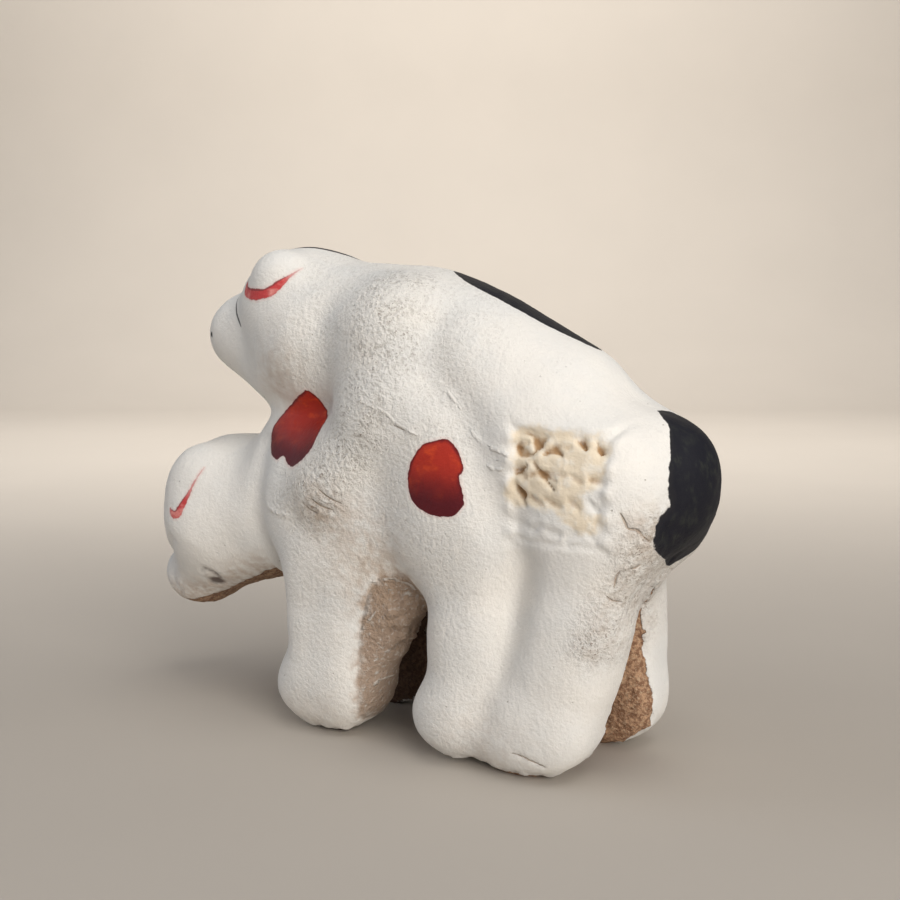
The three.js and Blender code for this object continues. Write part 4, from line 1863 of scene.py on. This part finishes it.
@dataclass(frozen=True)
class Studio:
    """A plain pale floor that curves up behind, soft lights and the camera at the photograph's place."""

    eye: Place = (57.77, -85.74, 35.0)
    azimuth: float = 32.0
    pitch: float = 6.0
    lens: float = 48.0
    sensor: float = 36.0
    clip: Range = (0.005, 10.0)
    half_floor: float = 900.0
    back_edge: float = 380.0
    bend: float = 160.0
    bend_steps: int = 24
    wall: float = 700.0
    floor_colour: Colour = (0.5, 0.455, 0.4)
    floor_clouds: Noise = Noise(40.0)
    floor_shade: float = 0.93
    floor_roughness: float = 0.75
    roughness_spread: float = 0.1
    floor_height: float = 0.01
    sky: Colour = (0.86, 0.9, 1.0)
    sky_strength: float = 0.3
    lamps: tuple[Lamp, ...] = (
        Lamp("ceiling", (150, -60, 380), (5, 0, 20), 240, 0.52, (1.0, 0.965, 0.91)),
        Lamp("window", (-330, -120, 210), (0, 0, 20), 240, 0.2, (0.84, 0.91, 1.0)),
        Lamp("room", (350, -230, 150), (0, 0, 18), 240, 1.28, (1.0, 0.955, 0.9)),
        Lamp("backdrop_glow", (-110, 190, 330), (-280, 450, 130), 400, 2.2, (1.0, 0.965, 0.92)),
    )

    def backdrop(self) -> bpy.types.Object:
        """Floor and wall in one sheet across the view: a level run, a quarter circle and an upright run.

        Returns:
            The sheet.
        """
        quarter = np.linspace(0, math.pi / 2, self.bend_steps)
        curve = self.back_edge + self.bend * np.sin(quarter)
        depth = np.concatenate(([-self.half_floor], curve, [self.back_edge + self.bend]))
        height = np.concatenate(([0], self.bend * (1 - np.cos(quarter)), [self.wall]))
        across = np.array((-self.half_floor, self.half_floor))
        a = math.radians(self.azimuth)
        forward, right = np.array((-math.sin(a), math.cos(a))), np.array((math.cos(a), math.sin(a)))
        plan = depth[:, None, None] * forward + across[None, :, None] * right
        upright = np.broadcast_to(height[:, None, None], (len(depth), 2, 1))
        points = np.concatenate((plan, upright), axis=2).reshape(-1, 3)
        number = np.arange(len(points)).reshape(-1, 2)
        quads = np.stack((number[:-1, 0], number[:-1, 1], number[1:, 1], number[1:, 0]), axis=1)
        mesh = add_mesh("backdrop", points, quads)
        mesh.materials.append(self.paper())
        return add_object("backdrop", mesh)

    def paper(self) -> bpy.types.Material:
        """The faintly clouded pale finish of the backdrop."""
        board = Board("pale_paper")
        cloud = board.noise(self.floor_clouds)
        darker = tuple(self.floor_shade * channel for channel in self.floor_colour)
        colour = board.mix(cloud, darker, self.floor_colour)
        roughness = cloud * self.roughness_spread + self.floor_roughness
        return board.surface(colour, roughness, cloud * self.floor_height)

    def lights(self) -> None:
        """The lamps, the faint light from all round and the plain view transform."""
        for lamp in self.lamps:
            lamp.build()
        world = bpy.data.worlds.new("room_light")
        world.use_nodes = True
        glow = world.node_tree.nodes["Background"]
        glow.inputs["Color"].default_value = (*self.sky, 1.0)
        glow.inputs["Strength"].default_value = self.sky_strength
        bpy.context.scene.world = world
        bpy.context.scene.view_settings.view_transform = "Standard"

    def camera(self) -> None:
        """The camera at the photograph's place."""
        a, e = math.radians(self.azimuth), math.radians(self.pitch)
        ahead = Vector((-math.sin(a) * math.cos(e), math.cos(a) * math.cos(e), -math.sin(e)))
        view = bpy.data.cameras.new("view")
        view.lens, view.sensor_width = self.lens, self.sensor
        view.clip_start, view.clip_end = self.clip
        holder = add_object("view", view)
        aim(holder, self.eye, ahead)
        bpy.context.scene.camera = holder


def main() -> None:
    """Loads the frame, builds the dogs and the room in order, and reports each piece."""
    logging.basicConfig(level=logging.INFO, format="%(name)s: %(message)s")
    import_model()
    cad_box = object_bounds()
    corners = (tuple(round(value, 4) for value in corner) for corner in cad_box)
    log.info("frame loaded, box %s to %s", *corners)

    dogs = ClayDogs().build()
    dogs.data.materials.append(PaintedClay().build())
    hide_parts(CAD_NODE)
    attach(dogs, "root")
    log.info("%s: %d vertices, %d quads", dogs.name, len(dogs.data.vertices), len(dogs.data.polygons))

    studio = Studio()
    studio.backdrop()
    studio.lights()
    studio.camera()
    log.info("backdrop, lights and camera are in place")


if __name__ == "__main__":
    main()
